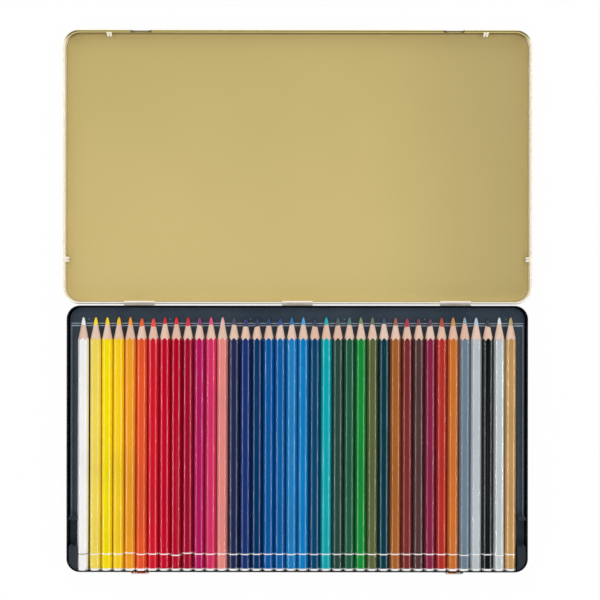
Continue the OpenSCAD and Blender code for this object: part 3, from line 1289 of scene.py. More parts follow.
@dataclass
class Nibs:
    """The four pressed nibs inside the lid's skirt that snap over the hem of the base."""

    sizes: TinSizes
    lobe_r: float = 0.95
    lobe_side: float = 0.95
    start: tuple[float, float] = (-0.25, 7.6)
    end: tuple[float, float] = (1.7, 2.4)
    tip: float = 0.4
    front_x: float = 130.7
    side_y: float = 30.3
    rings: int = 12
    rounded_share: float = 0.25
    root_girth: float = 1.05
    taper: float = 0.3

    def tree(self) -> NodeTree:
        """Builds the tree that sets one nib of two lobes at each point, turned by the point's angle.

        Returns:
            The tree, with the lobes' sizes and the material as inputs.
        """
        tree, given, out = new_tree(
            "skirt_nibs", "GeometryNodeTree",
            {"Geometry": (GEOMETRY, None), "Lobe Radius": (FLOAT, 0.0009),
             "Lobe Spacing": (FLOAT, 0.0017), "Length": (FLOAT, 0.003),
             "Slant": (FLOAT, 0.0), "Material": (MATERIAL, None)},
            {"Geometry": GEOMETRY})
        index = value_of(tree, "GeometryNodeInputIndex")
        along = index / (self.rings - 1)
        line = new_node(tree, "GeometryNodeMeshLine", {"Count": self.rings})
        place = new_node(tree, "ShaderNodeCombineXYZ", {"Z": along * given_field(given, "Length")})
        shaft = new_node(tree, "GeometryNodeSetPosition", {"Geometry": line, "Position": place})
        path = new_node(tree, "GeometryNodeMeshToCurve", {"Mesh": shaft})
        closing = ((1.0 - along) / self.rounded_share).math("MINIMUM", 1.0)
        full = (1.0 - (1.0 - closing).math("POWER", 2.0)).math("SQRT")
        girth = full * (self.root_girth - along * self.taper)
        ring = new_node(tree, "GeometryNodeCurvePrimitiveCircle",
                        {"Resolution": 20, "Radius": given.outputs["Lobe Radius"]})
        lobe = new_node(tree, "GeometryNodeCurveToMesh",
                        {"Curve": path, "Profile Curve": ring, "Scale": girth, "Fill Caps": True})
        two = new_node(tree, "GeometryNodeMeshLine", {"Count": 2, "Offset": (0.0, 0.0, 0.0)})
        side = new_node(tree, "ShaderNodeCombineXYZ",
                        {"X": (index - 0.5) * given_field(given, "Lobe Spacing")})
        pair = new_node(tree, "GeometryNodeSetPosition", {"Geometry": two, "Position": side})
        lean = new_node(tree, "ShaderNodeCombineXYZ", {"X": given.outputs["Slant"]})
        nib = new_node(tree, "GeometryNodeInstanceOnPoints",
                       {"Points": pair, "Instance": lobe, "Rotation": lean})
        angle = new_node(tree, "GeometryNodeInputNamedAttribute", {"Name": "turn"}, data_type="FLOAT")
        turn = new_node(tree, "ShaderNodeCombineXYZ", {"Z": angle})
        nibs = new_node(tree, "GeometryNodeInstanceOnPoints",
                        {"Points": given.outputs["Geometry"], "Instance": nib, "Rotation": turn})
        hand_out(tree, given, out, nibs)
        return tree

    def places(self) -> Mesh:
        """Marks the points where the nibs start.

        Returns:
            A mesh of points, each with the angle "turn" that its nib is turned by.
        """
        s = self.sizes
        u, z = self.start
        front, side, side_y = s.lid_front_y - u, s.lid_half_w - u, s.axis_y + self.side_y
        rows = [(-self.front_x, front, 180.0), (self.front_x, front, 180.0),
                (side, side_y, 90.0), (-side, side_y, -90.0)]
        mesh = bpy.data.meshes.new("nib_places")
        mesh.from_pydata([(x * MM, y * MM, z * MM) for x, y, _ in rows], [], [])
        turn = mesh.attributes.new("turn", "FLOAT", "POINT")
        turn.data.foreach_set("value", [math.radians(a) for _, _, a in rows])
        return mesh

    def build(self, material: Material) -> Object:
        """Builds the nibs as one piece of the lid.

        Args:
            material: Their finish.

        Returns:
            The piece.
        """
        run = self.end[0] - self.start[0], self.end[1] - self.start[1]
        values = {"Lobe Radius": self.lobe_r * MM, "Lobe Spacing": 2 * self.lobe_side * MM,
                  "Length": (math.hypot(*run) + self.lobe_r + self.tip) * MM,
                  "Slant": math.atan2(run[1], run[0]) - math.pi / 2, "Material": material}
        item = run_nodes(self.tree(), values, "lid_nibs", self.places())
        smooth(item.data, 50.0)
        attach(item, "lid")
        return item


@dataclass
class HingeStraps:
    """The three straps that come out of the base's wall and curl round the lid's bead."""

    sizes: TinSizes
    loop_r: float = 1.475
    loop_y: float = -0.275
    start_angle: float = 112.0
    end_angle: float = 81.0
    squareness: float = 4.0
    steps: int = 64
    edge_share: float = 0.45

    def tree(self) -> NodeTree:
        """Builds the tree that rolls a strap and sets it at each hinge.

        Returns:
            The tree, with the strap's sizes, its place and the material as inputs.
        """
        tree, given, out = new_tree(
            "hinge_straps", "GeometryNodeTree",
            {"Radius": (FLOAT, 0.0015), "Sheet": (FLOAT, 0.0003), "Width": (FLOAT, 0.021),
             "Pitch": (FLOAT, 0.1093), "Start": (FLOAT, 2.0), "Sweep": (FLOAT, 5.7),
             "Axis": (VECTOR, (0.0, 0.0, 0.0)), "Material": (MATERIAL, None)},
            {"Geometry": GEOMETRY})
        sheet = given_field(given, "Sheet")
        middle_r = given_field(given, "Radius") + sheet * 0.5
        roll = new_node(tree, "GeometryNodeCurveArc",
                        {"Resolution": self.steps, "Radius": middle_r,
                         "Start Angle": given.outputs["Start"], "Sweep Angle": given.outputs["Sweep"]})
        place = new_node(tree, "GeometryNodeInputPosition", {})
        parts = new_node(tree, "ShaderNodeSeparateXYZ", {0: place}).outputs
        powers = [(Field(tree, parts[i]).math("ABSOLUTE") / middle_r).math("POWER", self.squareness)
                  for i in (0, 1)]
        outwards = (powers[0] + powers[1]).math("POWER", -1.0 / self.squareness)
        square = new_node(tree, "ShaderNodeVectorMath", {0: place, "Scale": outwards}, operation="SCALE")
        loop = new_node(tree, "GeometryNodeSetPosition", {"Geometry": roll, "Position": square})
        plate = new_node(tree, "GeometryNodeCurvePrimitiveQuadrilateral",
                         {"Width": sheet, "Height": given.outputs["Width"]})
        eased = new_node(tree, "GeometryNodeFilletCurve",
                         {"Curve": plate, "Count": 3, "Radius": sheet * self.edge_share}, mode="POLY")
        strap = new_node(tree, "GeometryNodeCurveToMesh",
                         {"Curve": loop, "Profile Curve": eased, "Fill Caps": True})
        stand = new_node(tree, "GeometryNodeTransform",
                         {"Geometry": strap, "Rotation": (math.pi / 2, 0.0, math.pi / 2)})
        line = new_node(tree, "GeometryNodeMeshLine", {"Count": len(self.sizes.hinges)})
        hinge = value_of(tree, "GeometryNodeInputIndex") - 1.0
        along = new_node(tree, "ShaderNodeCombineXYZ", {"X": hinge * given_field(given, "Pitch")})
        centre = new_node(tree, "ShaderNodeVectorMath", {0: along, 1: given.outputs["Axis"]},
                          operation="ADD")
        places = new_node(tree, "GeometryNodeSetPosition", {"Geometry": line, "Position": centre})
        three = new_node(tree, "GeometryNodeInstanceOnPoints", {"Points": places, "Instance": stand})
        hand_out(tree, given, out, three)
        return tree

    def build(self, material: Material) -> Object:
        """Builds the straps as one piece of the base.

        Args:
            material: Their finish.

        Returns:
            The piece.
        """
        s = self.sizes
        axis = (0.0, (s.axis_y + self.loop_y) * MM, s.axis_z * MM)
        values = {"Radius": self.loop_r * MM, "Sheet": s.sheet * MM, "Width": s.strap_w * MM,
                  "Pitch": s.hinges[2] * MM, "Start": math.radians(self.start_angle),
                  "Sweep": math.radians(360.0 + self.end_angle - self.start_angle),
                  "Axis": axis, "Material": material}
        item = run_nodes(self.tree(), values, "hinge_straps")
        smooth(item.data, 40.0)
        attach(item, "tin")
        return item


# ---- The tray ----


@dataclass
class Tray:
    """The thermoformed tray: shelf, pocket, ribbed bed, finger trough and side blocks."""

    sizes: TinSizes
    film: float = 0.5
    low: float = 0.3
    bed_z: float = 4.5
    rib_h: float = 1.5
    block_z: float = 11.2
    rib_top: float = 0.3
    rib_foot: float = 1.3
    lip_h: float = 0.6
    back: float = 3.2
    shelf_end: float = 14.4
    shelf_bend: float = 0.2
    ledge_start: float = 15.9
    bed_start: float = 23.0
    block_start: float = 147.1
    trough_start: float = 150.2
    trough_end: float = 167.4
    front: float = 184.7
    half: float = 157.55
    wall: float = 0.5
    block_gap: float = 0.2
    corner: float = 8.2
    # Strength of the painted highlight along the lip and of the faint painted light over the bed.
    lip_highlight: float = 0.7
    bed_light: float = 0.03

    @property
    def row_half(self) -> float:
        """Half the width of the row of pencils."""
        return len(PENCIL_COLORS) / 2 * self.sizes.pitch

    @property
    def lip_x(self) -> float:
        """Where the lip begins at the tray's sides."""
        return self.half - 2 * self.film

    def across(self, x: float) -> float:
        """Draws the ribbed surface.

        Args:
            x: Place across the tray.

        Returns:
            Its height there.
        """
        beyond = abs(x) - self.row_half
        pitches = (x + self.row_half) / self.sizes.pitch
        reach = abs(pitches - round(pitches)) * self.sizes.pitch if beyond < 0.0 else beyond
        up = 1.0 - ease((reach - self.rib_top) / (self.rib_foot - self.rib_top))
        return self.bed_z + self.rib_h * up

    def height(self, x: float, s: float) -> float:
        """Draws the top surface.

        Args:
            x: Place across the tray.
            s: Distance from the hinge axis towards the front.

        Returns:
            The height above the table.
        """
        floor = self.low + self.film
        ribs = self.across(x)
        w = self.wall
        level = self.sizes.shelf_z
        step = slope((s - self.shelf_end) / (self.ledge_start - self.shelf_end), self.shelf_bend)
        level += (self.bed_z - level) * step
        level += (ribs - level) * ease((s - self.bed_start) / w)
        lip = ease((abs(x) - self.lip_x) / (0.6 * self.film))
        level += self.lip_h * lip * step
        level += (floor - level) * ease((s - self.trough_start + w) / w)
        level += (ribs - level) * ease((s - self.trough_end) / w)
        beside = ease((abs(x) - self.row_half - self.block_gap) / w)
        first = ease((s - self.block_start) / w) * (1.0 - ease((s - self.trough_start + w) / w))
        second = ease((s - self.trough_end) / w)
        block = beside * min(1.0, first + second)
        return level + (self.block_z - level) * block

    def painted_light_strength(self, x: float, y: float, z: float) -> float:
        """Works out how strongly highlight and light are painted on the film at a point of its surface.

        Args:
            x: Place across the tin.
            y: Place along it.
            z: Height.

        Returns:
            That strength, from 0 to 1.
        """
        s = self.sizes.axis_y - y
        # Place, half width and strength of the painted highlight on each of the two tight bends across.
        bends = ((self.shelf_end - 0.3, 0.3, 0.6), (self.ledge_start - 0.2, 0.38, 1.0))
        for place, width, share in bends:
            if abs(x) < self.lip_x and abs(s - place) < width:
                return share
        if s <= self.ledge_start or z >= self.block_z - 1.0:
            return 0.0
        # A painted highlight along the lip, and faint painted light over the bed and the trough.
        return self.lip_highlight if z > 3.0 and abs(abs(x) - self.lip_x) < 0.12 else self.bed_light

    def lines_across(self) -> list[float]:
        """Lists the grid lines across the tray, close together where the surface bends.

        Returns:
            Their places across.
        """
        step = self.rib_foot - self.rib_top
        near = [self.rib_top + step * k for k in (0.0, 0.15, 0.35, 0.65, 0.85, 1.0)]
        ribs = [-self.row_half + i * self.sizes.pitch for i in range(len(PENCIL_COLORS) + 1)]
        lines = {round(r + side * n, 4) for r in ribs for n in near for side in (-1, 1)}
        edge = self.row_half + self.block_gap
        sides = [edge + self.wall * k for k in (0.0, 0.15, 0.35, 0.5, 0.65, 0.85, 1.0)]
        sides += [self.lip_x + off for off in (-1.0, -0.15, -0.1, 0.0, 0.1, 0.15, 0.2, 0.3)]
        sides += [edge + 3.0, self.half - 0.15, self.half]
        lines |= {round(side * x, 4) for x in sides for side in (-1, 1)}
        return sorted(x for x in lines if abs(x) <= self.half)

    def lines_along(self) -> list[float]:
        """Lists the grid lines along the tray, close together where the surface bends.

        Returns:
            Their distances from the hinge axis.
        """
        share = (0.0, 0.12, 0.3, 0.5, 0.7, 0.88, 1.0)
        run, b = self.ledge_start - self.shelf_end, self.shelf_bend
        lines = {self.back, self.back + 0.12, 3.5, 6.0, 9.0, 12.0, 17.5, 20.0, 60.0, 100.0, 130.0,
                 154.0, 158.0, 162.0, 172.0, 176.0, 180.0, self.front - 0.12, self.front}
        lines |= {self.shelf_end + run * (end + b * k / 4) for k in range(-9, 7) for end in (0.0, 1.0)}
        for start in (self.bed_start, self.block_start, self.trough_start - self.wall, self.trough_end):
            lines |= {start + self.wall * k for k in share}
        lines |= {self.front - self.corner * k for k in (0.2, 0.4, 0.6, 0.8, 1.0)}
        lines |= {self.back + self.corner * k for k in (0.2, 0.4, 0.6, 0.8)}
        return sorted(round(s, 4) for s in lines)

    def held(self, x: float, s: float) -> tuple[float, float]:
        """Pulls a place in to the rounded corners of the tray's outline.

        Args:
            x: Place across the tray.
            s: Distance from the hinge axis.

        Returns:
            The place, moved only where it lies outside a corner.
        """
        cx = self.half - self.corner
        over_x = abs(x) - cx
        for side, cs in ((-1, self.back + self.corner), (1, self.front - self.corner)):
            over_s = side * (s - cs)
            reach = math.hypot(over_x, over_s)
            if over_x > 0.0 and over_s > 0.0 and reach > self.corner:
                pull = self.corner / reach
                return math.copysign(cx + over_x * pull, x), cs + side * over_s * pull
        return x, s

    def build(self, material: Material) -> Object:
        """Builds the tray as a closed film.

        Args:
            material: The film's finish.

        Returns:
            The object that replaces the CAD tray.
        """
        lines_x, lines_s = self.lines_across(), self.lines_along()
        top, under = [], []
        for s in lines_s:
            for x in lines_x:
                px, ps = self.held(x, s)
                z = self.height(px, ps)
                top.append((px, self.sizes.axis_y - ps, z))
                under.append((px, self.sizes.axis_y - ps, max(z - self.film, self.low)))
        wide, deep, n = len(lines_x), len(lines_s), len(top)
        cells = [(j * wide + i, j * wide + i + 1, (j + 1) * wide + i + 1, (j + 1) * wide + i)
                 for j in range(deep - 1) for i in range(wide - 1)]
        rim = list(range(wide)) + [j * wide + wide - 1 for j in range(1, deep)]
        rim += [(deep - 1) * wide + i for i in reversed(range(wide - 1))]
        rim += [j * wide for j in reversed(range(1, deep - 1))]
        walls = [(a, b, b + n, a + n) for a, b in zip(rim, rim[1:] + rim[:1])]
        faces = [c[::-1] for c in cells] + [tuple(v + n for v in c) for c in cells] + walls
        mesh = mesh_from("tray_film", top + under, faces)
        # The attribute "bend" holds the film's painted highlights and painted light.
        bend = mesh.attributes.new("bend", "FLOAT", "POINT")
        bend.data.foreach_set("value", [self.painted_light_strength(*(c / MM for c in v.co)) for v in mesh.vertices])
        mesh.materials.append(material)
        smooth(mesh, 60.0)
        item = add_object("tray_film", mesh)
        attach(item, "tin")
        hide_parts("pencil_tray")
        return item


@dataclass
class ShelfPips:
    """The small moulded pips on the tray's shelf, left by the vents of its mould."""

    sizes: TinSizes
    places: tuple[float, ...] = (-144.5, -88.2, -32.5, 32.5, 88.2, 144.5)
    from_axis: float = 11.2
    radius: float = 0.45
    height: float = 0.3

    def tree(self) -> NodeTree:
        """Builds the tree that sets one low dome at each point.

        Returns:
            The tree, with the domes' sizes and the material as inputs.
        """
        tree, given, out = new_tree(
            "shelf_pips", "GeometryNodeTree",
            {"Geometry": (GEOMETRY, None), "Radius": (FLOAT, 0.0004),
             "Flatness": (FLOAT, 0.6), "Material": (MATERIAL, None)},
            {"Geometry": GEOMETRY})
        ball = new_node(tree, "GeometryNodeMeshUVSphere",
                        {"Segments": 20, "Rings": 12, "Radius": given.outputs["Radius"]})
        scale = new_node(tree, "ShaderNodeCombineXYZ", {"X": 1.0, "Y": 1.0, "Z": given.outputs["Flatness"]})
        domes = new_node(tree, "GeometryNodeInstanceOnPoints",
                         {"Points": given.outputs["Geometry"], "Instance": ball, "Scale": scale})
        hand_out(tree, given, out, domes)
        return tree

    def build(self, material: Material) -> Object:
        """Builds the pips as one piece of the tray.

        Args:
            material: Their finish.

        Returns:
            The piece.
        """
        y = self.sizes.axis_y - self.from_axis
        mesh = bpy.data.meshes.new("pip_places")
        mesh.from_pydata([(x * MM, y * MM, self.sizes.shelf_z * MM) for x in self.places], [], [])
        values = {"Radius": self.radius * MM, "Flatness": self.height / self.radius, "Material": material}
        item = run_nodes(self.tree(), values, "shelf_pips", mesh)
        smooth(item.data, 60.0)
        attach(item, "tin")
        return item


# ---- The pencils ----


class Band(Enum):
    """Material slots of a pencil, from the point to the blunt end."""

    CORE = 0
    WOOD = 1
    LACQUER = 2
    RING = 3
    END = 4


@dataclass(frozen=True)
class PencilColor:
    """Colors of one pencil: its lacquer and its core."""

    lacquer: Rgb
    core: Rgb
    metallic: float = 0.0


PENCIL_COLORS = {
    "white": PencilColor((0.98, 0.98, 0.98), (1.0, 1.0, 1.0)),
    "pale_yellow": PencilColor((0.97, 0.87, 0.36), (1.0, 0.9, 0.15)),
    "bright_yellow": PencilColor((1.0, 0.9, 0.0), (1.0, 0.88, 0.0)),
    "golden_yellow": PencilColor((1.0, 0.83, 0.06), (1.0, 0.78, 0.0)),
    "orange_yellow": PencilColor((0.96, 0.63, 0.12), (1.0, 0.63, 0.12)),
    "orange": PencilColor((0.93, 0.34, 0.14), (0.92, 0.38, 0.1)),
    "light_red": PencilColor((0.85, 0.08, 0.17), (0.95, 0.27, 0.2)),
    "carmine": PencilColor((0.8, 0.0, 0.17), (0.85, 0.1, 0.2)),
    "dark_red": PencilColor((0.74, 0.0, 0.16), (0.93, 0.1, 0.15)),
    "crimson": PencilColor((0.66, 0.02, 0.18), (0.88, 0.05, 0.18)),
    "magenta": PencilColor((0.72, 0.06, 0.37), (0.55, 0.2, 0.43)),
    "pink": PencilColor((0.85, 0.18, 0.4), (0.92, 0.3, 0.52)),
    "salmon": PencilColor((0.92, 0.55, 0.52), (0.93, 0.74, 0.73)),
    "dark_violet": PencilColor((0.13, 0.17, 0.32), (0.27, 0.26, 0.37)),
    "indigo": PencilColor((0.09, 0.2, 0.46), (0.18, 0.2, 0.43)),
    "dark_blue": PencilColor((0.0, 0.21, 0.41), (0.12, 0.21, 0.38)),
    "blue": PencilColor((0.0, 0.36, 0.65), (0.1, 0.25, 0.45)),
    "mid_blue": PencilColor((0.0, 0.38, 0.66), (0.1, 0.3, 0.53)),
    "light_cobalt": PencilColor((0.1, 0.52, 0.78), (0.05, 0.45, 0.67)),
    "sky_blue": PencilColor((0.0, 0.52, 0.8), (0.33, 0.65, 0.87)),
    "petrol_blue": PencilColor((0.0, 0.28, 0.45), (0.14, 0.21, 0.33)),
    "turquoise": PencilColor((0.0, 0.69, 0.74), (0.0, 0.7, 0.75)),
    "grey_green": PencilColor((0.17, 0.29, 0.25), (0.27, 0.37, 0.36)),
    "green": PencilColor((0.12, 0.38, 0.27), (0.35, 0.5, 0.48)),
    "bright_green": PencilColor((0.07, 0.57, 0.23), (0.5, 0.6, 0.35)),
    "olive": PencilColor((0.37, 0.41, 0.23), (0.42, 0.48, 0.4)),
    "deep_petrol": PencilColor((0.0, 0.24, 0.3), (0.22, 0.28, 0.4)),
    "brown_ochre": PencilColor((0.68, 0.39, 0.16), (0.65, 0.38, 0.28)),
    "red_brown": PencilColor((0.51, 0.17, 0.17), (0.7, 0.18, 0.28)),
    "dark_brown": PencilColor((0.34, 0.22, 0.22), (0.47, 0.25, 0.23)),
    "wine": PencilColor((0.55, 0.13, 0.28), (0.38, 0.23, 0.32)),
    "rust_red": PencilColor((0.73, 0.18, 0.14), (0.72, 0.28, 0.2)),
    "orange_ochre": PencilColor((0.83, 0.46, 0.17), (0.82, 0.6, 0.33)),
    "blue_grey": PencilColor((0.45, 0.53, 0.59), (0.57, 0.67, 0.72)),
    "light_grey": PencilColor((0.77, 0.8, 0.82), (0.74, 0.82, 0.88)),
    "black": PencilColor((0.04, 0.07, 0.08), (0.18, 0.2, 0.23)),
    "silver": PencilColor((0.83, 0.86, 0.87), (0.88, 0.92, 0.94), 0.15),
    "gold": PencilColor((0.84, 0.66, 0.42), (0.76, 0.68, 0.47), 0.2),
}


def choose(tree: NodeTree, index: Field, values: Sequence[object]) -> Field:
    """Adds an Index Switch.

    Args:
        tree: The geometry tree.
        index: Which value is taken.
        values: Fields or numbers.

    Returns:
        The value that index picks.
    """
    node = tree.nodes.new("GeometryNodeIndexSwitch")
    node.data_type = "FLOAT"
    while len(node.index_switch_items) < len(values):
        node.index_switch_items.new()
    plug(tree, index, node.inputs[0])
    for socket, value in zip(list(node.inputs)[1:], values):
        plug(tree, value, socket)
    return Field(tree, node.outputs[0])


@dataclass
class PencilRow:
    """The row of sharpened pencils that lie in the tray.

    Short points are worn further back, and ring shifts move the white ring of a pencil, by number.
    """

    sizes: TinSizes
    length: float = 175.0
    flats: float = 7.0
    edge_r: float = 1.4
    axis_z: float = 8.1
    tip_from_axis: float = 9.75
    cone: float = 16.5
    point_r: float = 0.45
    coat: float = 0.1
    fullness: float = 1.65
    end_r: float = 0.45
    lean: float = 0.0018
    first_aside: float = 0.6
    ring_w: float = 0.8
    ring_from_end: float = 11.5
    band_w: float = 1.6
    around: int = 96
    short_points: tuple[int, ...] = (6, 7, 15, 16, 17, 18, 21, 29, 30, 31, 36)
    ring_shifts: tuple[tuple[int, float], ...] = ((5, 0.8), (10, 0.7), (9, -0.7), (34, -0.6), (37, -0.7))

    @property
    def edge_centre(self) -> float:
        """Distance of the rounded edges' centres from the pencil's axis."""
        return (self.flats / 2 - self.edge_r) / math.cos(math.radians(30))

    @property
    def half(self) -> float:
        """Largest radius of a pencil."""
        return self.edge_centre + self.edge_r

    def hexagon(self, angle: Field) -> Field:
        """Draws the six-sided casing with its rounded edges.

        Args:
            angle: The angle from the top flat.

        Returns:
            The casing's radius there.
        """
        sixth = math.radians(60)
        turned = (angle + sixth / 2 + math.tau).math("MODULO", sixth) - sixth / 2
        off = turned.math("ABSOLUTE")
        flat = self.flats / 2 * MM / off.math("COSINE")
        back = sixth / 2 - off
        centre, edge = self.edge_centre * MM, self.edge_r * MM
        sag = back.math("SINE") * centre
        rounded = back.math("COSINE") * centre + (edge * edge - sag * sag).math("SQRT")
        on_flat = off.math("LESS_THAN", math.atan2(self.edge_centre / 2, self.flats / 2))
        return on_flat * flat + (1.0 - on_flat) * rounded

    def rows(self, casing: Field, bare: Field, core_end: Field, ring: Field, length: Field,
             blunt: Field) -> list[tuple[object, object, Band]]:
        """Lists the rings of a pencil from its point to its blunt end.

        Args:
            casing: Radius of the lacquered casing.
            bare: Radius of the wood under the lacquer.
            core_end: Distance from the nominal point to where the core meets the wood.
            ring: Distance of the painted ring from the blunt end.
            length: Length of the pencil.
            blunt: How much of the nominal point is worn off.

        Returns:
            Radius, distance from the nominal point, and the band that starts there.
        """
        taper = (self.half - self.point_r) / self.cone
        tip, end_r = self.point_r * MM, self.end_r * MM
        point, cone_end = blunt * taper + tip, (bare - tip) / taper

        def on_core(share: float) -> tuple[Field, Field, Band]:
            """Returns the ring at a share of the way along the full, rounded core."""
            girth = (core_end * taper + tip - point) * (1.0 - (1.0 - share) ** self.fullness)
            return point + girth, blunt + (core_end - blunt) * share, Band.CORE

        def on_wood(share: float) -> tuple[Field, Field, Band]:
            """Returns the ring at a share of the way from the core to the lacquer."""
            distance = core_end * (1.0 - share) + cone_end * share
            return distance * taper + tip, distance, Band.WOOD

        def on_end(degrees: float, band: Band) -> tuple[Field, Field, Band]:
            """Returns the ring at an angle round the softened blunt end."""
            turn = math.radians(degrees)
            return casing - end_r * (1 - math.cos(turn)), length - end_r * (1 - math.sin(turn)), band

        return [
            (0.0, blunt, Band.CORE),
            (point * 0.5, blunt + 0.06 * MM, Band.CORE),
            (point * 0.85, blunt + 0.2 * MM, Band.CORE),
            *(on_core(share) for share in (0.1, 0.22, 0.4, 0.65)),
            *(on_wood(share) for share in (0.0, 0.34, 0.67)),
            (bare, cone_end, Band.LACQUER),
            (casing, cone_end + 0.12 * MM, Band.LACQUER),
            (casing, cone_end + 0.8 * MM, Band.LACQUER),
            (casing, length * 0.5, Band.LACQUER),
            (casing, length - ring - self.ring_w / 2 * MM, Band.RING),
            (casing, length - ring + self.ring_w / 2 * MM, Band.LACQUER),
            (casing, length - self.band_w * MM, Band.END),
            (casing, length - end_r, Band.END),
            *(on_end(degrees, Band.END) for degrees in (25, 50)),
            *(on_end(degrees, Band.LACQUER) for degrees in (72, 90)),
            (bare * 0.4, length, Band.LACQUER),
            (0.0, length, Band.LACQUER),
        ]

    def tree(self) -> NodeTree:
        """Builds the tree that turns a grid into one sharpened pencil.

        Returns:
            The tree, with the pencil's place, its own differences and its materials as inputs.
        """
        tree, given, out = new_tree(
            "pencil_form", "GeometryNodeTree",
            {"Place": (VECTOR, (0.0, 0.0, 0.0)), "Length": (FLOAT, 0.175), "Lean": (FLOAT, 0.0),
             "Core Exposed": (FLOAT, 0.005), "Core Slant": (FLOAT, 0.0004), "Slant Turn": (FLOAT, 0.0),
             "Blunt": (FLOAT, 0.0), "Ring From End": (FLOAT, 0.0115),
             **{band.name.capitalize(): (MATERIAL, None) for band in Band}},
            {"Geometry": GEOMETRY})
        take = partial(given_field, given)
        position = new_node(tree, "GeometryNodeInputPosition", {})
        grid_place = new_node(tree, "ShaderNodeSeparateXYZ", {0: position}).outputs
        angle = (Field(tree, grid_place[0]) + 0.5) * math.tau
        casing = self.hexagon(angle)
        wave = (angle + take("Slant Turn")).math("COSINE")
        jag = (angle * 5.0 + take("Slant Turn") * 3.0).math("SINE") * 0.15
        core_end = take("Core Exposed") + (wave + jag) * take("Core Slant")
        rows = self.rows(casing, casing - self.coat * MM, core_end, take("Ring From End"),
                         take("Length"), take("Blunt"))
        radii, distances, bands = zip(*rows)
        grid = new_node(tree, "GeometryNodeMeshGrid",
                        {"Size X": 1.0, "Size Y": 1.0, "Vertices X": self.around + 1,
                         "Vertices Y": len(rows)})
        step = (Field(tree, grid_place[1]) + 0.5) * (len(rows) - 1)
        marked = new_node(tree, "GeometryNodeStoreNamedAttribute",
                          {"Geometry": grid, "Name": "row", "Value": step},
                          data_type="FLOAT", domain="FACE")
        number = step.math("ROUND")
        radius, distance = choose(tree, number, radii), choose(tree, number, distances)
        ring_x, ring_z = radius * angle.math("SINE"), radius * angle.math("COSINE")
        aside = (distance - take("Length") * 0.5) * take("Lean")
        own = new_node(tree, "ShaderNodeCombineXYZ",
                       {"X": ring_x - aside, "Y": distance * -1.0, "Z": ring_z})
        moved = new_node(tree, "ShaderNodeVectorMath", {0: own, 1: given.outputs["Place"]}, operation="ADD")
        formed = new_node(tree, "GeometryNodeSetPosition", {"Geometry": marked, "Position": moved})
        shaped = new_node(tree, "GeometryNodeRealizeInstances", {"Geometry": formed})
        row = value_of(tree, "GeometryNodeInputNamedAttribute", {"Name": "row"}, data_type="FLOAT")
        for band in Band:
            on_band = choose(tree, row.math("FLOOR"), [1.0 if b is band else 0.0 for b in bands])
            shaped = new_node(tree, "GeometryNodeSetMaterial",
                              {"Geometry": shaped, "Selection": on_band.math("GREATER_THAN", 0.5),
                               "Material": given.outputs[band.name.capitalize()]})
        plug(tree, shaped, out.inputs["Geometry"])
        return tree

    def place(self, index: int) -> Point:
        """Places a pencil.

        Args:
            index: Which one it is, from the left, from 0.

        Returns:
            Where its nominal point lies, in metres.
        """
        x = (index - (len(PENCIL_COLORS) - 1) / 2) * self.sizes.pitch
        x -= self.first_aside if index == 0 else 0.0
        return x * MM, (self.sizes.axis_y - self.tip_from_axis) * MM, self.axis_z * MM

    def build(self, effects: Effects, wood: Material) -> list[Object]:
        """Builds and dresses every pencil as its own piece.

        Args:
            effects: The shared shader groups.
            wood: The finish of the sharpened wood.

        Returns:
            The pencils, which replace the CAD ones.
        """
        tree = self.tree()
        chance = random.Random(38)
        white = Lacquer(name="ring_white", color=(0.96, 0.95, 0.94)).build(effects)
        dipped = Lacquer(name="end_white", color=(1.0, 1.0, 1.0)).build(effects)
        grey = Lacquer(name="ring_grey", color=(0.68, 0.64, 0.62)).build(effects)
        shifts = dict(self.ring_shifts)
        made = []
        for number, (name, color) in enumerate(PENCIL_COLORS.items(), start=1):
            node = f"pencil_{number:02d}_{name}"
            blunt = 0.9 if number in self.short_points else 0.25 * chance.random()
            exposed = 4.5 + 1.6 * chance.random() + blunt
            from_end = self.ring_from_end + shifts.get(number, 0.25 * (chance.random() - 0.5))
            lacquer = Lacquer(name=f"lacquer_{name}", color=color.lacquer, roughness=0.1, spread=0.02,
                              metallic=color.metallic, gloss=0.7, depth=0.0001, stretch=(1.0, 0.05, 1.0))
            values = {"Place": self.place(number - 1), "Length": self.length * MM, "Lean": self.lean,
                      "Core Exposed": exposed * MM, "Core Slant": (0.15 + 0.5 * chance.random()) * MM,
                      "Slant Turn": math.tau * chance.random(), "Blunt": blunt * MM,
                      "Ring From End": from_end * MM, "Core": WaxCore(f"core_{name}", color.core).build(),
                      "Wood": wood, "Lacquer": lacquer.build(effects),
                      "Ring": grey if name == "white" else white, "End": dipped}
            item = run_nodes(tree, values, f"{node}_dressed")
            self.close(item.data)
            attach(item, node)
            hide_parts(node)
            made.append(item)
        return made

    def close(self, mesh: Mesh) -> None:
        """Merges a pencil's seam and poles, turns its faces outwards and shades it.

        Args:
            mesh: The pencil's mesh.
        """
        work = bmesh.new()
        work.from_mesh(mesh)
        bmesh.ops.remove_doubles(work, verts=work.verts, dist=0.003 * MM)
        bmesh.ops.recalc_face_normals(work, faces=work.faces)
        work.to_mesh(mesh)
        work.free()
        smooth(mesh, 30.0)


# ---- Table, light and camera ----


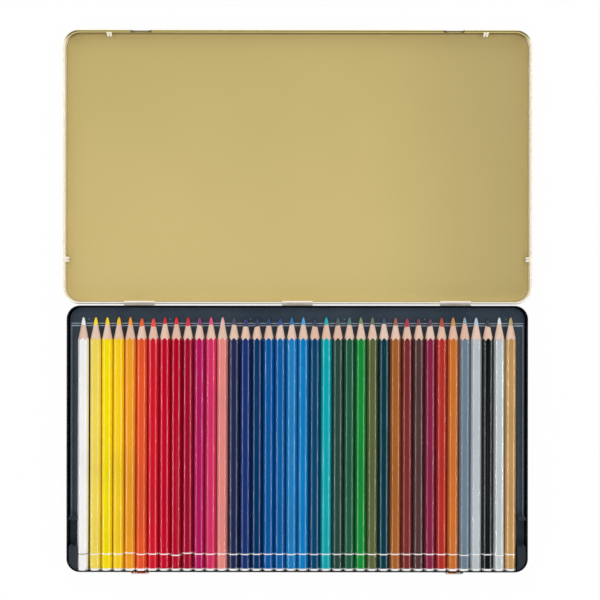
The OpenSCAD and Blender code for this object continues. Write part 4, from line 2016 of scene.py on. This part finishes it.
@dataclass
class Studio:
    """A white table under a white dome, and a camera straight above it."""

    camera_x: float = 1.8
    camera_y: float = 1.02
    camera_height: float = 958.0
    camera_roll: float = 0.06
    rim_plane: float = 8.0
    seen_width: float = 415.1
    sensor: float = 36.0
    zenith: float = 0.02
    horizon: float = 1.1
    fade: Range = (0.9, 0.975)
    table_half: float = 6.0
    table_glow: float = 0.97
    strip_aside: float = 1.5
    strip_height: float = 0.22
    strip_size: tuple[float, float] = (2.2, 0.07)
    strip_power: float = 19.0

    def build(self) -> None:
        """Builds table, world, lights and camera."""
        self.add_table()
        self.add_world()
        for name, side in (("left_strip", -1.0), ("right_strip", 1.0)):
            self.add_strip(name, side)
        self.add_camera()

    def add_table(self) -> None:
        """Adds the white table, which glows a little for the eye and keeps soft shadows."""
        half = self.table_half
        mesh = bpy.data.meshes.new("table_top")
        mesh.from_pydata([(x * half, y * half, 0) for x, y in ((-1, -1), (1, -1), (1, 1), (-1, 1))],
                         [], [(0, 1, 2, 3)])
        top = add_object("table_top", mesh)
        material, tree = start_material("white_table", gloss=0.0)
        shader = tree.nodes["Principled BSDF"]
        shader.inputs["Base Color"].default_value = (0.97, 0.97, 0.97, 1.0)
        shader.inputs["Roughness"].default_value = 0.9
        rays = new_node(tree, "ShaderNodeLightPath", {}).outputs
        seen = Field(tree, rays["Is Camera Ray"]) + Field(tree, rays["Is Glossy Ray"])
        seen = (seen + Field(tree, rays["Is Transmission Ray"])).math("MINIMUM", 1.0)
        glow = new_node(tree, "ShaderNodeEmission", {"Color": (1.0, 1.0, 1.0, 1.0), "Strength": 1.0})
        both = new_node(tree, "ShaderNodeMixShader", {0: seen * self.table_glow, 1: shader, 2: glow})
        plug(tree, both, tree.nodes["Material Output"].inputs["Surface"])
        mesh.materials.append(material)

    def add_world(self) -> None:
        """Sets the surround: a white dome, dark only straight overhead, where the camera hangs."""
        world = bpy.data.worlds.new("studio")
        bpy.context.scene.world = world
        world.use_nodes = True
        tree = world.node_tree
        at = new_node(tree, "ShaderNodeTexCoord", {}).outputs["Generated"]
        up = Field(tree, new_node(tree, "ShaderNodeSeparateXYZ", {0: at}).outputs[2])
        dome = ramp(tree, up, *self.fade) * (self.zenith - self.horizon) + self.horizon
        seen = Field(tree, new_node(tree, "ShaderNodeLightPath", {}).outputs["Is Camera Ray"])
        back = tree.nodes["Background"]
        back.inputs["Color"].default_value = (1.0, 1.0, 1.0, 1.0)
        plug(tree, (1.0 - seen) * dome + seen, back.inputs["Strength"])

    def add_strip(self, name: str, side: float) -> None:
        """Adds a long, low strip light that faces the tin and shows only in its glossy surfaces.

        Args:
            name: The light's name.
            side: -1 for the left side, 1 for the right.
        """
        lamp = bpy.data.lights.new(name, "AREA")
        lamp.shape = "RECTANGLE"
        lamp.size, lamp.size_y = self.strip_size
        lamp.energy = self.strip_power
        item = bpy.data.objects.new(name, lamp)
        item.location = (side * self.strip_aside, 0.0, self.strip_height)
        item.rotation_euler = (-Vector(item.location)).to_track_quat("-Z", "Y").to_euler()
        item.visible_diffuse = False
        bpy.context.scene.collection.objects.link(item)

    def add_camera(self) -> None:
        """Adds the camera, which looks straight down."""
        data = bpy.data.cameras.new("camera")
        data.sensor_width = self.sensor
        data.lens = self.sensor * (self.camera_height - self.rim_plane) / self.seen_width
        data.clip_start, data.clip_end = 0.05, 50.0
        item = bpy.data.objects.new("camera", data)
        item.location = (self.camera_x * MM, self.camera_y * MM, self.camera_height * MM)
        item.rotation_euler = (0.0, 0.0, math.radians(self.camera_roll))
        bpy.context.scene.collection.objects.link(item)
        bpy.context.scene.camera = item
        bpy.context.scene.view_settings.view_transform = "Standard"


def main() -> None:
    """Builds the dressed tin piece by piece and reports each piece."""
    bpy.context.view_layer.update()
    effects = Effects()
    sizes = TinSizes()
    black = Lacquer(name="base_lacquer", color=(0.12, 0.14, 0.14), roughness=0.1, depth=0.003)
    rim = Lacquer(name="rim_lacquer", color=(0.05, 0.06, 0.06), roughness=0.2, gloss=0.35, depth=0.001)
    bare = Lacquer(name="pressed_tin", color=(1.0, 0.97, 0.95), roughness=0.07, metallic=1.0, depth=0.002)
    # The pips are painted paler than the film, as a painted highlight.
    pip_highlight = Lacquer(name="pip_highlight", color=(0.5, 0.56, 0.62), roughness=0.25, depth=0.001)
    outside, pressed = black.build(effects), bare.build(effects)
    gold, skirt = GoldPanel(sizes=sizes).build(effects), SkirtLacquer(sizes=sizes).build(effects)
    pieces = [
        Base(sizes).build({TinSlot.OUTSIDE: outside, TinSlot.INSIDE: outside,
                           TinSlot.EDGE: rim.build(effects), TinSlot.BARE: pressed}),
        Lid(sizes).build({TinSlot.OUTSIDE: outside, TinSlot.INSIDE: gold, TinSlot.EDGE: skirt,
                          TinSlot.BARE: pressed}),
        Nibs(sizes).build(NibHighlight().build(effects)),
        HingeStraps(sizes).build(StrapTin().build(effects)),
        Tray(sizes).build(FormedFilm().build(effects)),
        ShelfPips(sizes).build(pip_highlight.build(effects)),
        *PencilRow(sizes).build(effects, CedarCasing().build(effects)),
    ]
    for piece in pieces:
        LOG.info("%s: %d faces", piece.name, len(piece.data.polygons))
    Studio().build()


if __name__ == "__main__":
    logging.basicConfig(level=logging.INFO, format="%(message)s")
    main()
